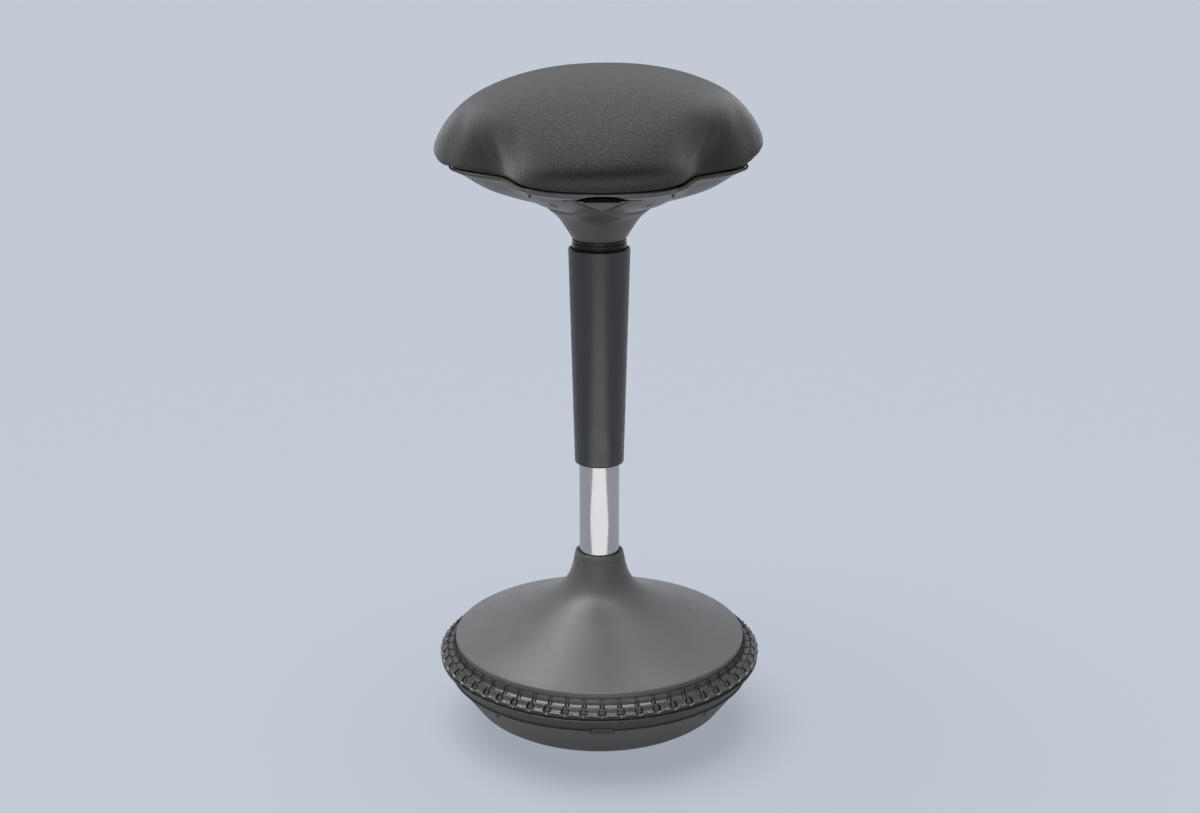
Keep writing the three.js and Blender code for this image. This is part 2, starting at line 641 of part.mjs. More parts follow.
function baseChassis() {
  const socketBore = TUBE_RADIUS + SEAT_GAP;
  const webBottom = WEB_TOP_HEIGHT - WEB_THICKNESS;
  const webMiddle = WEB_TOP_HEIGHT - WEB_THICKNESS / 2;
  const skirtBottom = SEAM_HEIGHT + SEAM_GAP;
  const skirtFoot = bowlOuterRadius(skirtBottom);
  const body = lathe(
    [
      [SOCKET_MOUTH_RADIUS, SOCKET_FLOOR_HEIGHT],
      [SOCKET_RADIUS, SOCKET_FLOOR_HEIGHT],
      [SOCKET_RADIUS, webBottom],
      [FLANGE_INNER_RADIUS, webBottom],
      [skirtFoot - SKIRT_WALL, skirtBottom],
      [skirtFoot, skirtBottom],
      [SKIRT_TOP_RADIUS, LIP_HEIGHT - LIP_THICKNESS],
      [LIP_RADIUS, LIP_HEIGHT - LIP_THICKNESS / 2],
      [LIP_RADIUS, LIP_HEIGHT + LIP_THICKNESS / 2],
      [SKIRT_TOP_RADIUS, FLANGE_TOP_HEIGHT],
      [FLANGE_INNER_RADIUS, FLANGE_TOP_HEIGHT],
      [FLANGE_INNER_RADIUS, WEB_TOP_HEIGHT],
      [SOCKET_RADIUS, WEB_TOP_HEIGHT],
      [SOCKET_RADIUS, SOCKET_TOP_HEIGHT],
      [socketBore, SOCKET_TOP_HEIGHT],
      [socketBore, SOCKET_FLOOR_HEIGHT + SOCKET_FLOOR],
      [SOCKET_MOUTH_RADIUS, SOCKET_FLOOR_HEIGHT + SOCKET_FLOOR],
      [SOCKET_MOUTH_RADIUS, SOCKET_FLOOR_HEIGHT],
    ],
    LARGE_SIDES,
  );
  const ribInner = (socketBore + SOCKET_RADIUS) / 2;
  const ribUnder = (radius) => coverHeight(radius) - COVER_WALL - RIB_CLEARANCE;
  const ribMiddle = THREE.MathUtils.lerp(SOCKET_RADIUS, RIB_OUTER_RADIUS, RIB_INNER_SHARE);
  const ribs = Array.from({ length: RIB_COUNT }, (_, index) =>
    sideProfile(
      [
        [ribInner, webBottom],
        [RIB_OUTER_RADIUS, webBottom],
        [RIB_OUTER_RADIUS, ribUnder(RIB_OUTER_RADIUS)],
        [ribMiddle, ribUnder(ribMiddle)],
        [ribInner, ribUnder(ribMiddle)],
      ],
      RIB_THICKNESS,
    ).rotateZ(turn(index, RIB_COUNT)),
  );
  const bosses = ballastBoltPlaces().map(([x, y]) =>
    rod(BALLAST_BOSS_RADIUS, ballastTop + SEAT_GAP, webMiddle).translate(x, y, 0),
  );
  const lugs = lugAngles().map((angle) => {
    const bottom = LUG_HEIGHT - LUG_RISE / 2;
    const middle = lugOuterRadius - LUG_LENGTH / 2;
    const centre = (webMiddle + bottom) / 2;
    return box(LUG_WIDTH, LUG_LENGTH, webMiddle - bottom, 0, -middle, centre).rotateZ(angle);
  });
  const tabBlock = box(
    TAB_WIDTH,
    SKIRT_WALL + CUT_OVERRUN * 2,
    TAB_DEPTH + SKIRT_WALL,
    0,
    -skirtFoot,
    skirtBottom - TAB_DEPTH + (TAB_DEPTH + SKIRT_WALL) / 2,
  );
  const tabBand = lathe(
    [
      [bowlOuterRadius(skirtBottom - TAB_DEPTH) - BOWL_WALL, skirtBottom - TAB_DEPTH],
      [bowlOuterRadius(skirtBottom - TAB_DEPTH), skirtBottom - TAB_DEPTH],
      [bowlOuterRadius(skirtBottom + SKIRT_WALL), skirtBottom + SKIRT_WALL],
      [bowlOuterRadius(skirtBottom + SKIRT_WALL) - BOWL_WALL, skirtBottom + SKIRT_WALL],
      [bowlOuterRadius(skirtBottom - TAB_DEPTH) - BOWL_WALL, skirtBottom - TAB_DEPTH],
    ],
    LARGE_SIDES,
  );
  const ballastHoles = ballastBoltPlaces().map(([x, y]) => {
    const top = ballastTop - BALLAST_THICKNESS + BOLT_HEAD_HEIGHT + BOLT_LENGTH + SEAT_GAP;
    return rod(BOLT_RADIUS + SEAT_GAP, ballastTop - CUT_OVERRUN, top).translate(x, y, 0);
  });
  const lugHoles = lugAngles().map((angle) =>
    rod(BOWL_SCREW_RADIUS + SEAT_GAP, 0, BOWL_SCREW_LENGTH + CUT_OVERRUN)
      .rotateX(-Math.PI / 2)
      .translate(0, -bowlOuterRadius(LUG_HEIGHT), LUG_HEIGHT)
      .rotateZ(angle),
  );
  const screwHoles = coverScrewPlaces().map(([x, y]) =>
    rod(
      COVER_SCREW_RADIUS + SEAT_GAP,
      webBottom - CUT_OVERRUN,
      WEB_TOP_HEIGHT + CUT_OVERRUN,
    ).translate(x, y, 0),
  );
  const solid = join(body, ...ribs, ...bosses, ...lugs, overlapOf(tabBlock, tabBand));
  return cut(solid, ...ballastHoles, ...lugHoles, ...screwHoles);
}

function lowerBowl() {
  const padRecess = FOOT_PAD_RADIUS + SEAT_GAP;
  const recessRoof = FOOT_PAD_HEIGHT + SEAT_GAP;
  const capMiddle = (padRecess + ROCKER_EDGE_RADIUS) / 2;
  const kneeMiddle = THREE.MathUtils.lerp(
    ROCKER_EDGE_RADIUS,
    BOWL_KNEE_RADIUS,
    KNEE_MIDDLE_SHARE,
  );
  const outside = [
    [0, recessRoof],
    [padRecess, recessRoof],
    [padRecess, PAD_EDGE_HEIGHT],
    [capMiddle, rockerHeight(capMiddle)],
    [ROCKER_EDGE_RADIUS, rockerHeight(ROCKER_EDGE_RADIUS)],
    [kneeMiddle, (rockerHeight(ROCKER_EDGE_RADIUS) + BOWL_KNEE_HEIGHT) / 2 - SMALL_CHAMFER],
    [BOWL_KNEE_RADIUS, BOWL_KNEE_HEIGHT],
    [SEAM_RADIUS, SEAM_HEIGHT],
  ];
  const inside = [
    [SEAM_RADIUS - BOWL_WALL, SEAM_HEIGHT],
    [BOWL_KNEE_RADIUS - BOWL_WALL, BOWL_KNEE_HEIGHT + BOWL_WALL / 2],
    [ROCKER_EDGE_RADIUS - BOWL_WALL, rockerHeight(ROCKER_EDGE_RADIUS) + BOWL_WALL],
    [capMiddle, rockerHeight(capMiddle) + BOWL_WALL],
    [padRecess, recessRoof + BOWL_WALL],
    [0, recessRoof + BOWL_WALL],
  ];
  const bowl = lathe([...outside, ...inside], LARGE_SIDES);
  const tabSlot = box(
    TAB_WIDTH + SEAM_GAP * 2,
    SKIRT_WALL * 2 + CUT_OVERRUN * 2,
    (TAB_DEPTH + SEAM_GAP) * 2,
    0,
    -SEAM_RADIUS,
    SEAM_HEIGHT + SEAM_GAP,
  );
  const screwHoles = lugAngles().flatMap((angle) => {
    const face = bowlOuterRadius(LUG_HEIGHT);
    const place = (geometry) =>
      geometry.rotateX(-Math.PI / 2).translate(0, -face, LUG_HEIGHT).rotateZ(angle);
    return [
      place(rod(BOWL_SCREW_RADIUS + SEAT_GAP, -CUT_OVERRUN, CUT_OVERRUN * 2)),
      place(rod(BOWL_SCREW_HEAD_RADIUS + SEAT_GAP, -CUT_OVERRUN, BOWL_SCREW_SINK)),
    ];
  });
  return cut(bowl, tabSlot, ...screwHoles);
}

function makeBase() {
  const padRound = SMALL_CHAMFER;
  piece(
    'foot_pad',
    lathe(
      [
        [0, 0],
        [FOOT_PAD_RADIUS - padRound, 0],
        [FOOT_PAD_RADIUS, padRound],
        [FOOT_PAD_RADIUS, FOOT_PAD_HEIGHT],
        [0, FOOT_PAD_HEIGHT],
      ],
      LARGE_SIDES,
    ),
    FINISH.rubber,
  );
  piece('lower_bowl', lowerBowl(), FINISH.bowlRubber);
  piece('base_chassis', baseChassis(), FINISH.blackPlastic);
  piece('grip_ring', gripRing(), FINISH.rubber);
  piece('base_cover', baseCover(), FINISH.basePlastic);

  const ballastBottom = ballastTop - BALLAST_THICKNESS;
  const plate = lathe(
    [
      [BALLAST_BORE_RADIUS, ballastBottom],
      [BALLAST_RADIUS - BALLAST_CHAMFER, ballastBottom],
      [BALLAST_RADIUS, ballastBottom + BALLAST_CHAMFER],
      [BALLAST_RADIUS, ballastTop],
      [BALLAST_BORE_RADIUS, ballastTop],
      [BALLAST_BORE_RADIUS, ballastBottom],
    ],
    COLUMN_SIDES,
  );
  const ballastCuts = ballastBoltPlaces().flatMap(([x, y]) => [
    rod(
      BOLT_RADIUS + SEAT_GAP,
      ballastBottom - CUT_OVERRUN,
      ballastTop + CUT_OVERRUN,
    ).translate(x, y, 0),
    rod(
      BOLT_HEAD_RADIUS + SEAT_GAP,
      ballastBottom - CUT_OVERRUN,
      ballastBottom + BOLT_HEAD_HEIGHT + SEAT_GAP,
    ).translate(x, y, 0),
  ]);
  piece('ballast_plate', cut(plate, ...ballastCuts), FINISH.castIron);
  ballastBoltPlaces().forEach(([x, y], index) => {
    const bolt = screwGeometry(BOLT_RADIUS, BOLT_HEAD_RADIUS, BOLT_HEAD_HEIGHT, BOLT_LENGTH);
    const mesh = piece(`ballast_bolt_${index + 1}`, bolt, FINISH.steel);
    mesh.position.set(x, y, ballastBottom + BOLT_HEAD_HEIGHT);
  });
  lugAngles().forEach((angle, index) => {
    const screw = screwGeometry(
      BOWL_SCREW_RADIUS,
      BOWL_SCREW_HEAD_RADIUS,
      BOWL_SCREW_HEAD_HEIGHT,
      BOWL_SCREW_LENGTH - BOWL_SCREW_SINK,
    );
    const face = bowlOuterRadius(LUG_HEIGHT) - BOWL_SCREW_SINK + SEAT_GAP;
    const placed = screw.rotateX(-Math.PI / 2).translate(0, -face, LUG_HEIGHT).rotateZ(angle);
    piece(`bowl_screw_${index + 1}`, placed, FINISH.steel);
  });
  coverScrewPlaces().forEach(([x, y], index) => {
    const screw = screwGeometry(
      COVER_SCREW_RADIUS,
      COVER_SCREW_HEAD_RADIUS,
      COVER_SCREW_HEAD_HEIGHT,
      COVER_SCREW_LENGTH,
    );
    const mesh = piece(`cover_screw_${index + 1}`, screw, FINISH.steel);
    mesh.position.set(x, y, WEB_TOP_HEIGHT - WEB_THICKNESS - SEAT_GAP);
  });
}

// Gas spring and telescopic cover

const endPlateBottom = tubeBottom + END_PLATE_LIFT;
const endPlateTop = endPlateBottom + END_PLATE_THICKNESS;
const lowerRaceTop = endPlateTop + SEAT_GAP + RACE_THICKNESS;
const ballHeight = lowerRaceTop + SEAT_GAP + BALL_RADIUS;
const upperRaceBottom = ballHeight + BALL_RADIUS + SEAT_GAP;
const rodCollarBottom = upperRaceBottom + RACE_THICKNESS + SEAT_GAP;
const rodCollarTop = rodCollarBottom + ROD_COLLAR_HEIGHT;
const clipTop = endPlateBottom - SEAT_GAP;
const cylinderBore = CYLINDER_RADIUS - CYLINDER_WALL;

const washer = (bore, radius, bottom, top, sides = COLUMN_SIDES) =>
  lathe([[bore, bottom], [radius, bottom], [radius, top], [bore, top], [bore, bottom]], sides);

const sleeveRadius = (height) =>
  THREE.MathUtils.mapLinear(
    height,
    SLEEVE_BOTTOM_HEIGHT,
    SLEEVE_TOP_HEIGHT,
    SLEEVE_BOTTOM_RADIUS,
    SLEEVE_TOP_RADIUS,
  );

const cylinderRadius = (height) =>
  THREE.MathUtils.mapLinear(
    Math.max(height, CYLINDER_TOP_HEIGHT - CYLINDER_TAPER_LENGTH),
    CYLINDER_TOP_HEIGHT - CYLINDER_TAPER_LENGTH,
    CYLINDER_TOP_HEIGHT,
    CYLINDER_RADIUS,
    CYLINDER_TIP_RADIUS,
  );

function makeTube() {
  const inner = TUBE_RADIUS - TUBE_WALL;
  piece(
    'guide_tube',
    lathe(
      [
        [inner, tubeBottom],
        [TUBE_RADIUS - TUBE_EDGE, tubeBottom],
        [TUBE_RADIUS, tubeBottom + TUBE_EDGE],
        [TUBE_RADIUS, TUBE_TOP_HEIGHT - TUBE_EDGE],
        [TUBE_RADIUS - TUBE_EDGE, TUBE_TOP_HEIGHT],
        [inner, TUBE_TOP_HEIGHT],
        [inner, tubeBottom],
      ],
      COLUMN_SIDES,
    ),
    FINISH.chrome,
  );
  const bore = CYLINDER_RADIUS + RUN_GAP;
  const lipBottom = TUBE_TOP_HEIGHT + SEAT_GAP;
  piece(
    'guide_bushing',
    lathe(
      [
        [bore, TUBE_TOP_HEIGHT - GUIDE_LENGTH],
        [inner - SEAT_GAP, TUBE_TOP_HEIGHT - GUIDE_LENGTH],
        [inner - SEAT_GAP, lipBottom],
        [TUBE_RADIUS - TUBE_EDGE, lipBottom],
        [TUBE_RADIUS - TUBE_EDGE, lipBottom + GUIDE_LIP],
        [bore, lipBottom + GUIDE_LIP],
        [bore, TUBE_TOP_HEIGHT - GUIDE_LENGTH],
      ],
      COLUMN_SIDES,
    ),
    FINISH.acetal,
  );
  const rodHole = ROD_RADIUS + RUN_GAP;
  piece(
    'tube_end_plate',
    washer(rodHole, inner - SEAT_GAP, endPlateBottom, endPlateTop),
    FINISH.steel,
  );
  piece(
    'bearing_lower_race',
    washer(rodHole, RACE_RADIUS, endPlateTop + SEAT_GAP, lowerRaceTop, FITTED_SIDES),
    FINISH.steel,
  );
  const cage = washer(
    rodHole,
    RACE_RADIUS - SEAT_GAP,
    ballHeight - CAGE_THICKNESS / 2,
    ballHeight + CAGE_THICKNESS / 2,
    FITTED_SIDES,
  );
  const balls = Array.from({ length: BALL_COUNT }, (_, index) => {
    const centre = around(turn(index, BALL_COUNT), BALL_CIRCLE, ballHeight);
    return new THREE.IcosahedronGeometry(BALL_RADIUS, 0).translate(centre.x, centre.y, centre.z);
  });
  piece('bearing_cage', join(cage, ...balls), FINISH.steel);

  const collarBore = TUBE_RADIUS + RUN_GAP;
  const collarBottom = COVER_NECK_HEIGHT + SEAT_GAP;
  const collarTop = collarBottom + COLLAR_HEIGHT;
  const spigot = COVER_NECK_RADIUS - COVER_NECK_WALL - SEAT_GAP;
  const rimInner = COLLAR_RIM_RADIUS - COLLAR_RIM_WIDTH;
  piece(
    'base_collar',
    lathe(
      [
        [collarBore, collarBottom - COLLAR_SPIGOT_DEPTH],
        [spigot, collarBottom - COLLAR_SPIGOT_DEPTH],
        [spigot, collarBottom],
        [COVER_NECK_RADIUS, collarBottom],
        [COLLAR_RIM_RADIUS, collarTop - COLLAR_RIM_DROP],
        [rimInner, collarTop - COLLAR_RIM_DROP],
        [rimInner, collarTop - COLLAR_GROOVE_DROP],
        [rimInner - COLLAR_GROOVE_WIDTH, collarTop - COLLAR_GROOVE_DROP],
        [rimInner - COLLAR_GROOVE_WIDTH, collarTop],
        [collarBore, collarTop],
        [collarBore, collarBottom - COLLAR_SPIGOT_DEPTH],
      ],
      COLUMN_SIDES,
    ),
    FINISH.blackPlastic,
  );
}

function makeRod() {
  const clipBottom = clipTop - CLIP_THICKNESS;
  const grooveRadius = ROD_RADIUS - CLIP_GROOVE_DEPTH;
  const rodTop = PISTON_BASE_HEIGHT + PISTON_LENGTH;
  piece(
    'piston_rod',
    lathe(
      [
        [0, clipBottom - ROD_TIP_LENGTH + CLIP_THICKNESS],
        [ROD_RADIUS, clipBottom - ROD_TIP_LENGTH + CLIP_THICKNESS],
        [ROD_RADIUS, clipBottom - SEAT_GAP],
        [grooveRadius, clipBottom - SEAT_GAP],
        [grooveRadius, clipTop + SEAT_GAP / 2],
        [ROD_RADIUS, clipTop + SEAT_GAP / 2],
        [ROD_RADIUS, rodCollarBottom],
        [ROD_COLLAR_RADIUS, rodCollarBottom],
        [ROD_COLLAR_RADIUS, rodCollarTop],
        [ROD_RADIUS, rodCollarTop],
        [ROD_RADIUS, rodTop + SMALL_CHAMFER],
        [ROD_RADIUS - SMALL_CHAMFER, rodTop + SMALL_CHAMFER * 2],
        [0, rodTop + SMALL_CHAMFER * 2],
      ],
      SMALL_SIDES,
    ),
    FINISH.chrome,
  );
  piece(
    'rod_clip',
    washer(grooveRadius + SEAT_GAP, CLIP_RADIUS, clipBottom, clipTop, SMALL_SIDES),
    FINISH.steel,
  );
  piece(
    'bearing_upper_race',
    washer(
      ROD_RADIUS + SEAT_GAP,
      RACE_RADIUS,
      upperRaceBottom,
      upperRaceBottom + RACE_THICKNESS,
      FITTED_SIDES,
    ),
    FINISH.steel,
  );
  const bumpBottom = rodCollarTop + SEAT_GAP;
  piece(
    'bump_stop',
    washer(ROD_RADIUS + SEAT_GAP, BUMP_RADIUS, bumpBottom, bumpBottom + BUMP_HEIGHT, FITTED_SIDES),
    FINISH.rubber,
  );
  piece(
    'piston_head',
    washer(
      ROD_RADIUS + SEAT_GAP,
      cylinderBore - RUN_GAP,
      PISTON_BASE_HEIGHT,
      rodTop,
      FITTED_SIDES,
    ),
    FINISH.acetal,
  );
}

function makeCylinder() {
  const buttonHole = BUTTON_RADIUS + RUN_GAP;
  const capBottom = CYLINDER_TOP_HEIGHT - CYLINDER_CAP;
  piece(
    'gas_cylinder',
    lathe(
      [
        [cylinderBore, CYLINDER_BASE_HEIGHT],
        [CYLINDER_RADIUS, CYLINDER_BASE_HEIGHT],
        [CYLINDER_RADIUS, CYLINDER_TOP_HEIGHT - CYLINDER_TAPER_LENGTH],
        [CYLINDER_TIP_RADIUS, CYLINDER_TOP_HEIGHT],
        [buttonHole, CYLINDER_TOP_HEIGHT],
        [buttonHole, capBottom],
        [cylinderBore, capBottom],
        [cylinderBore, CYLINDER_BASE_HEIGHT],
      ],
      FITTED_SIDES,
    ),
    FINISH.steel,
  );
  piece(
    'rod_seal',
    washer(
      ROD_RADIUS + RUN_GAP,
      cylinderBore - SEAT_GAP,
      CYLINDER_BASE_HEIGHT + SMALL_CHAMFER,
      CYLINDER_BASE_HEIGHT + SMALL_CHAMFER + SEAL_LENGTH,
      FITTED_SIDES,
    ),
    FINISH.rubber,
  );
  piece(
    'valve_button',
    rod(BUTTON_RADIUS, capBottom - CYLINDER_CAP, CYLINDER_TOP_HEIGHT + BUTTON_PROUD),
    FINISH.acetal,
  );
}

function makeSleeve() {
  const inner = (height) => sleeveRadius(height) - SLEEVE_WALL;
  const roundTop = SLEEVE_BOTTOM_HEIGHT + SLEEVE_ROUND;
  const roundMiddle = Math.sin(Math.PI / 4);
  const ledgeTop = SLEEVE_TOP_HEIGHT - SLEEVE_LEDGE_DEPTH;
  const ledgeBottom = ledgeTop - SLEEVE_LEDGE_HEIGHT;
  const start = [inner(SLEEVE_BOTTOM_HEIGHT), SLEEVE_BOTTOM_HEIGHT];
  piece(
    'cover_sleeve',
    lathe(
      [
        start,
        [SLEEVE_BOTTOM_RADIUS - SLEEVE_ROUND / 2, SLEEVE_BOTTOM_HEIGHT],
        [
          sleeveRadius(roundTop) - (SLEEVE_ROUND / 2) * (1 - roundMiddle),
          roundTop - SLEEVE_ROUND * roundMiddle,
        ],
        [sleeveRadius(roundTop), roundTop],
        [sleeveRadius(SLEEVE_TOP_HEIGHT - SMALL_CHAMFER), SLEEVE_TOP_HEIGHT - SMALL_CHAMFER],
        [SLEEVE_TOP_RADIUS - SMALL_CHAMFER, SLEEVE_TOP_HEIGHT],
        [inner(SLEEVE_TOP_HEIGHT), SLEEVE_TOP_HEIGHT],
        [inner(ledgeTop), ledgeTop],
        [inner(ledgeTop) - SLEEVE_LEDGE_WIDTH, ledgeTop],
        [inner(ledgeTop) - SLEEVE_LEDGE_WIDTH, ledgeBottom],
        [inner(ledgeBottom), ledgeBottom],
        start,
      ],
      COLUMN_SIDES,
    ),
    FINISH.blackPlastic,
  );
  const bushingBottom = roundTop + SMALL_CHAMFER;
  const bushingTop = bushingBottom + BUSHING_LENGTH;
  const bushingBore = TUBE_RADIUS + RUN_GAP;
  piece(
    'sleeve_bushing',
    lathe(
      [
        [bushingBore, bushingBottom],
        [inner(bushingBottom) - SEAT_GAP, bushingBottom],
        [inner(bushingTop) - SEAT_GAP, bushingTop],
        [bushingBore, bushingTop],
        [bushingBore, bushingBottom],
      ],
      COLUMN_SIDES,
    ),
    FINISH.acetal,
  );
  const plugRadius = inner(ledgeTop) - SEAT_GAP;
  const ringBottom = SLEEVE_TOP_HEIGHT + SEAT_GAP;
  const ringTop = ringBottom + STEP_RING_HEIGHT;
  const bandHeight = STEP_RING_HEIGHT / (STEP_RING_GROOVES * 2 + 1);
  const bands = Array.from({ length: STEP_RING_GROOVES }, (_, index) => {
    const low = ringBottom + bandHeight * (index * 2 + 1);
    return [
      [STEP_RING_RADIUS, low],
      [STEP_RING_RADIUS - STEP_RING_GROOVE, low],
      [STEP_RING_RADIUS - STEP_RING_GROOVE, low + bandHeight],
      [STEP_RING_RADIUS, low + bandHeight],
    ];
  }).flat();
  const bore = CYLINDER_RADIUS + SEAT_GAP;
  const discBottom = ringBottom + SLEEVE_WALL;
  const hollow = plugRadius - SLEEVE_WALL;
  piece(
    'sleeve_collar',
    lathe(
      [
        [hollow, ledgeTop + SEAT_GAP],
        [plugRadius, ledgeTop + SEAT_GAP],
        [plugRadius, ringBottom],
        [STEP_RING_RADIUS, ringBottom],
        ...bands,
        [STEP_RING_RADIUS, ringTop],
        [bore, ringTop],
        [bore, discBottom],
        [hollow, discBottom],
        [hollow, ledgeTop + SEAT_GAP],
      ],
      COLUMN_SIDES,
    ),
    FINISH.blackPlastic,
  );
}

// Seat

const rimBottom = PAN_TOP_HEIGHT - PAN_RIM_DEPTH;

// A point of a three-lobed outline; the offset runs square to the outline
function lobed(outline, angle, tip, lobingShare, height, offset = 0) {
  const swing = (tip * lobingShare * (1 - outline.notch / outline.tip)) / 2;
  const wave = LOBES * angle;
  const radius =
    tip -
    swing * (1 - Math.cos(wave)) +
    swing * outline.fullnessShare * (1 - Math.cos(wave * 2));
  const change =
    swing * LOBES * (2 * outline.fullnessShare * Math.sin(wave * 2) - Math.sin(wave));
  const length = Math.hypot(radius, change);
  const outward = around(angle, radius / length, 0);
  const along = new THREE.Vector3(Math.cos(angle), Math.sin(angle), 0);
  return around(angle, radius, height)
    .addScaledVector(outward, offset)
    .addScaledVector(along, (-change / length) * offset);
}

const lobedRing = (outline, sides, tip, lobingShare, height, offset = 0) =>
  Array.from({ length: sides }, (_, side) =>
    lobed(outline, turn(side, sides), tip, lobingShare, height, offset),
  );

const panEdge = (angle, height, offset) =>
  lobed(PAN_OUTLINE, angle, PAN_TIP_RADIUS, 1, height, offset);

function cushion() {
  const ring = (share, height, lobingShare = 1) =>
    lobedRing(CUSHION_OUTLINE, CUSHION_SIDES, CUSHION_TIP_RADIUS * share, lobingShare, height);
  const rings = [
    ring(CUSHION_FOOT_SHARE, CUSHION_BOTTOM_HEIGHT),
    ...tuckShares.map(([outShare, upShare]) =>
      ring(outShare, CUSHION_BOTTOM_HEIGHT + CUSHION_EDGE_RISE * upShare),
    ),
    ring(1, CUSHION_EDGE_HEIGHT),
    ...crownAngleShares.map((share) => {
      const angle = (share * Math.PI) / 2;
      const riseShare = Math.sin(angle) ** CROWN_RISE_POWER;
      const faded = THREE.MathUtils.smoothstep(riseShare, 0, LOBING_FADE_SHARE);
      return ring(
        Math.cos(angle) ** CROWN_WIDTH_POWER,
        CUSHION_EDGE_HEIGHT + CROWN_RISE * riseShare,
        THREE.MathUtils.lerp(1, CROWN_LOBING_SHARE, faded),
      );
    }),
  ];
  const bottom = new THREE.Vector3(0, 0, CUSHION_BOTTOM_HEIGHT);
  const top = new THREE.Vector3(0, 0, CROWN_HEIGHT);
  return domeSolid(CUSHION_SIDES, bottom, rings, top);
}

// Outer surface of the pan from the neck to the rim, as rows of radius, height and lobing
function panRows() {
  return [
    [NECK_RADIUS, PAN_BOTTOM_HEIGHT, 0],
    ...panProfileShares.map(([radiusShare, heightShare, lobingShare]) => [
      PAN_TIP_RADIUS * radiusShare,
      PAN_BOTTOM_HEIGHT + PAN_HEIGHT * heightShare,
      lobingShare,
    ]),
    [PAN_TIP_RADIUS - PAN_RIM_DRAFT, rimBottom, 1],
    [PAN_TIP_RADIUS, PAN_TOP_HEIGHT, 1],
  ];
}

const recessPoint = ([acrossShare, downShare]) => [
  acrossShare * RECESS_HALF_WIDTH,
  PAN_TOP_HEIGHT - RECESS_TOP_DROP - downShare * RECESS_HEIGHT,
];

const recessFront = -PAN_TIP_RADIUS - CUT_OVERRUN;

function recessPrism() {
  const right = recessShares.map(recessPoint);
  const left = right.slice(1, -1).map(([x, z]) => [-x, z]);
  const outline = [...right, ...left.reverse()].reverse();
  return frontProfile(outline, recessFront, -RECESS_REAR + CUT_OVERRUN);
}

// The pan with its inside filled
const panSolid = () =>
  domeSolid(
    PAN_SIDES,
    new THREE.Vector3(0, 0, PAN_BOTTOM_HEIGHT),
    panRows().map(([radius, height, lobing]) =>
      lobedRing(PAN_OUTLINE, PAN_SIDES, radius, lobing, height),
    ),
    new THREE.Vector3(0, 0, PAN_TOP_HEIGHT),
  );

// A tray in the foot of the recess: its floor follows the recess, its back stands up
function fingerScoop() {
  const right = scoopShares.map(recessPoint);
  const path = [...right, ...right.slice(0, -1).map(([x, z]) => [-x, z]).reverse()];
  const floorTop = SCOOP_LIFT + SCOOP_WALL;
  const floor = [
    ...path.map(([x, z]) => [x, z + SCOOP_LIFT]),
    ...path.map(([x, z]) => [x, z + floorTop]).reverse(),
  ];
  const backTop = recessPoint([0, SCOOP_TOP_SHARE])[1];
  const lower = path.filter(([, z]) => z + SCOOP_WALL < backTop);
  const [topX] = lower[0];
  const back = [...lower.map(([x, z]) => [x, z + floorTop / 2]), [-topX, backTop], [topX, backTop]];
  const tray = frontProfile(floor, recessFront, -RECESS_REAR);
  const wall = frontProfile(back, -RECESS_REAR - SCOOP_WALL, -RECESS_REAR);
  return overlapOf(join(tray, wall), panSolid());
}

function shellScrewPlaces() {
  return Array.from({ length: LOBES * 2 }, (_, index) => {
    const side = index % 2 === 0 ? -1 : 1;
    const lobe = turn(Math.floor(index / 2), LOBES);
    const place = around(lobe + side * SHELL_SCREW_OFFSET, SHELL_SCREW_CIRCLE, 0);
    return [place.x, place.y];
  });
}

function seatShell() {
  const rows = panRows();
  const inset = PAN_WALL * Math.sin(Math.PI / 4);
  const sections = Array.from({ length: PAN_SIDES }, (_, side) => {
    const angle = turn(side, PAN_SIDES);
    const wall = (row, rise) => lobed(PAN_OUTLINE, angle, row[0], row[2], row[1] + rise, -rise);
    return [
      around(angle, NECK_BORE_RADIUS, PAN_BOTTOM_HEIGHT),
      ...rows.map((row) => wall(row, 0)),
      panEdge(angle, PAN_TOP_HEIGHT, -PAN_WALL),
      ...rows
        .slice(1, -1)
        .map((row) => wall(row, inset))
        .reverse(),
    ];
  });
  const bossTop = BOARD_BOTTOM_HEIGHT - SEAT_GAP;
  const screwSeat = bossTop - SHELL_SCREW_SEAT_DROP;
  const bosses = shellScrewPlaces().map(([x, y]) =>
    overlapOf(rod(SHELL_BOSS_RADIUS, PAN_BOTTOM_HEIGHT, bossTop).translate(x, y, 0), panSolid()),
  );
  const holes = shellScrewPlaces().flatMap(([x, y]) => [
    rod(SHELL_SCREW_RADIUS + SEAT_GAP, PAN_BOTTOM_HEIGHT, PAN_TOP_HEIGHT).translate(x, y, 0),
    rod(SHELL_SCREW_HEAD_RADIUS + SEAT_GAP, PAN_BOTTOM_HEIGHT, screwSeat).translate(x, y, 0),
  ]);
  return cut(join(sweptSolid(sections), ...bosses), ...holes, recessPrism());
}

const mountBoltX = (CHANNEL_WIDTH + CHANNEL_FLANGE) / 2;
const mountBoltPlaces = [-1, 1].flatMap((sideX) =>
  [-1, 1].map((sideY) => [sideX * mountBoltX, (sideY * MOUNT_BOLT_SPACING) / 2]),
);

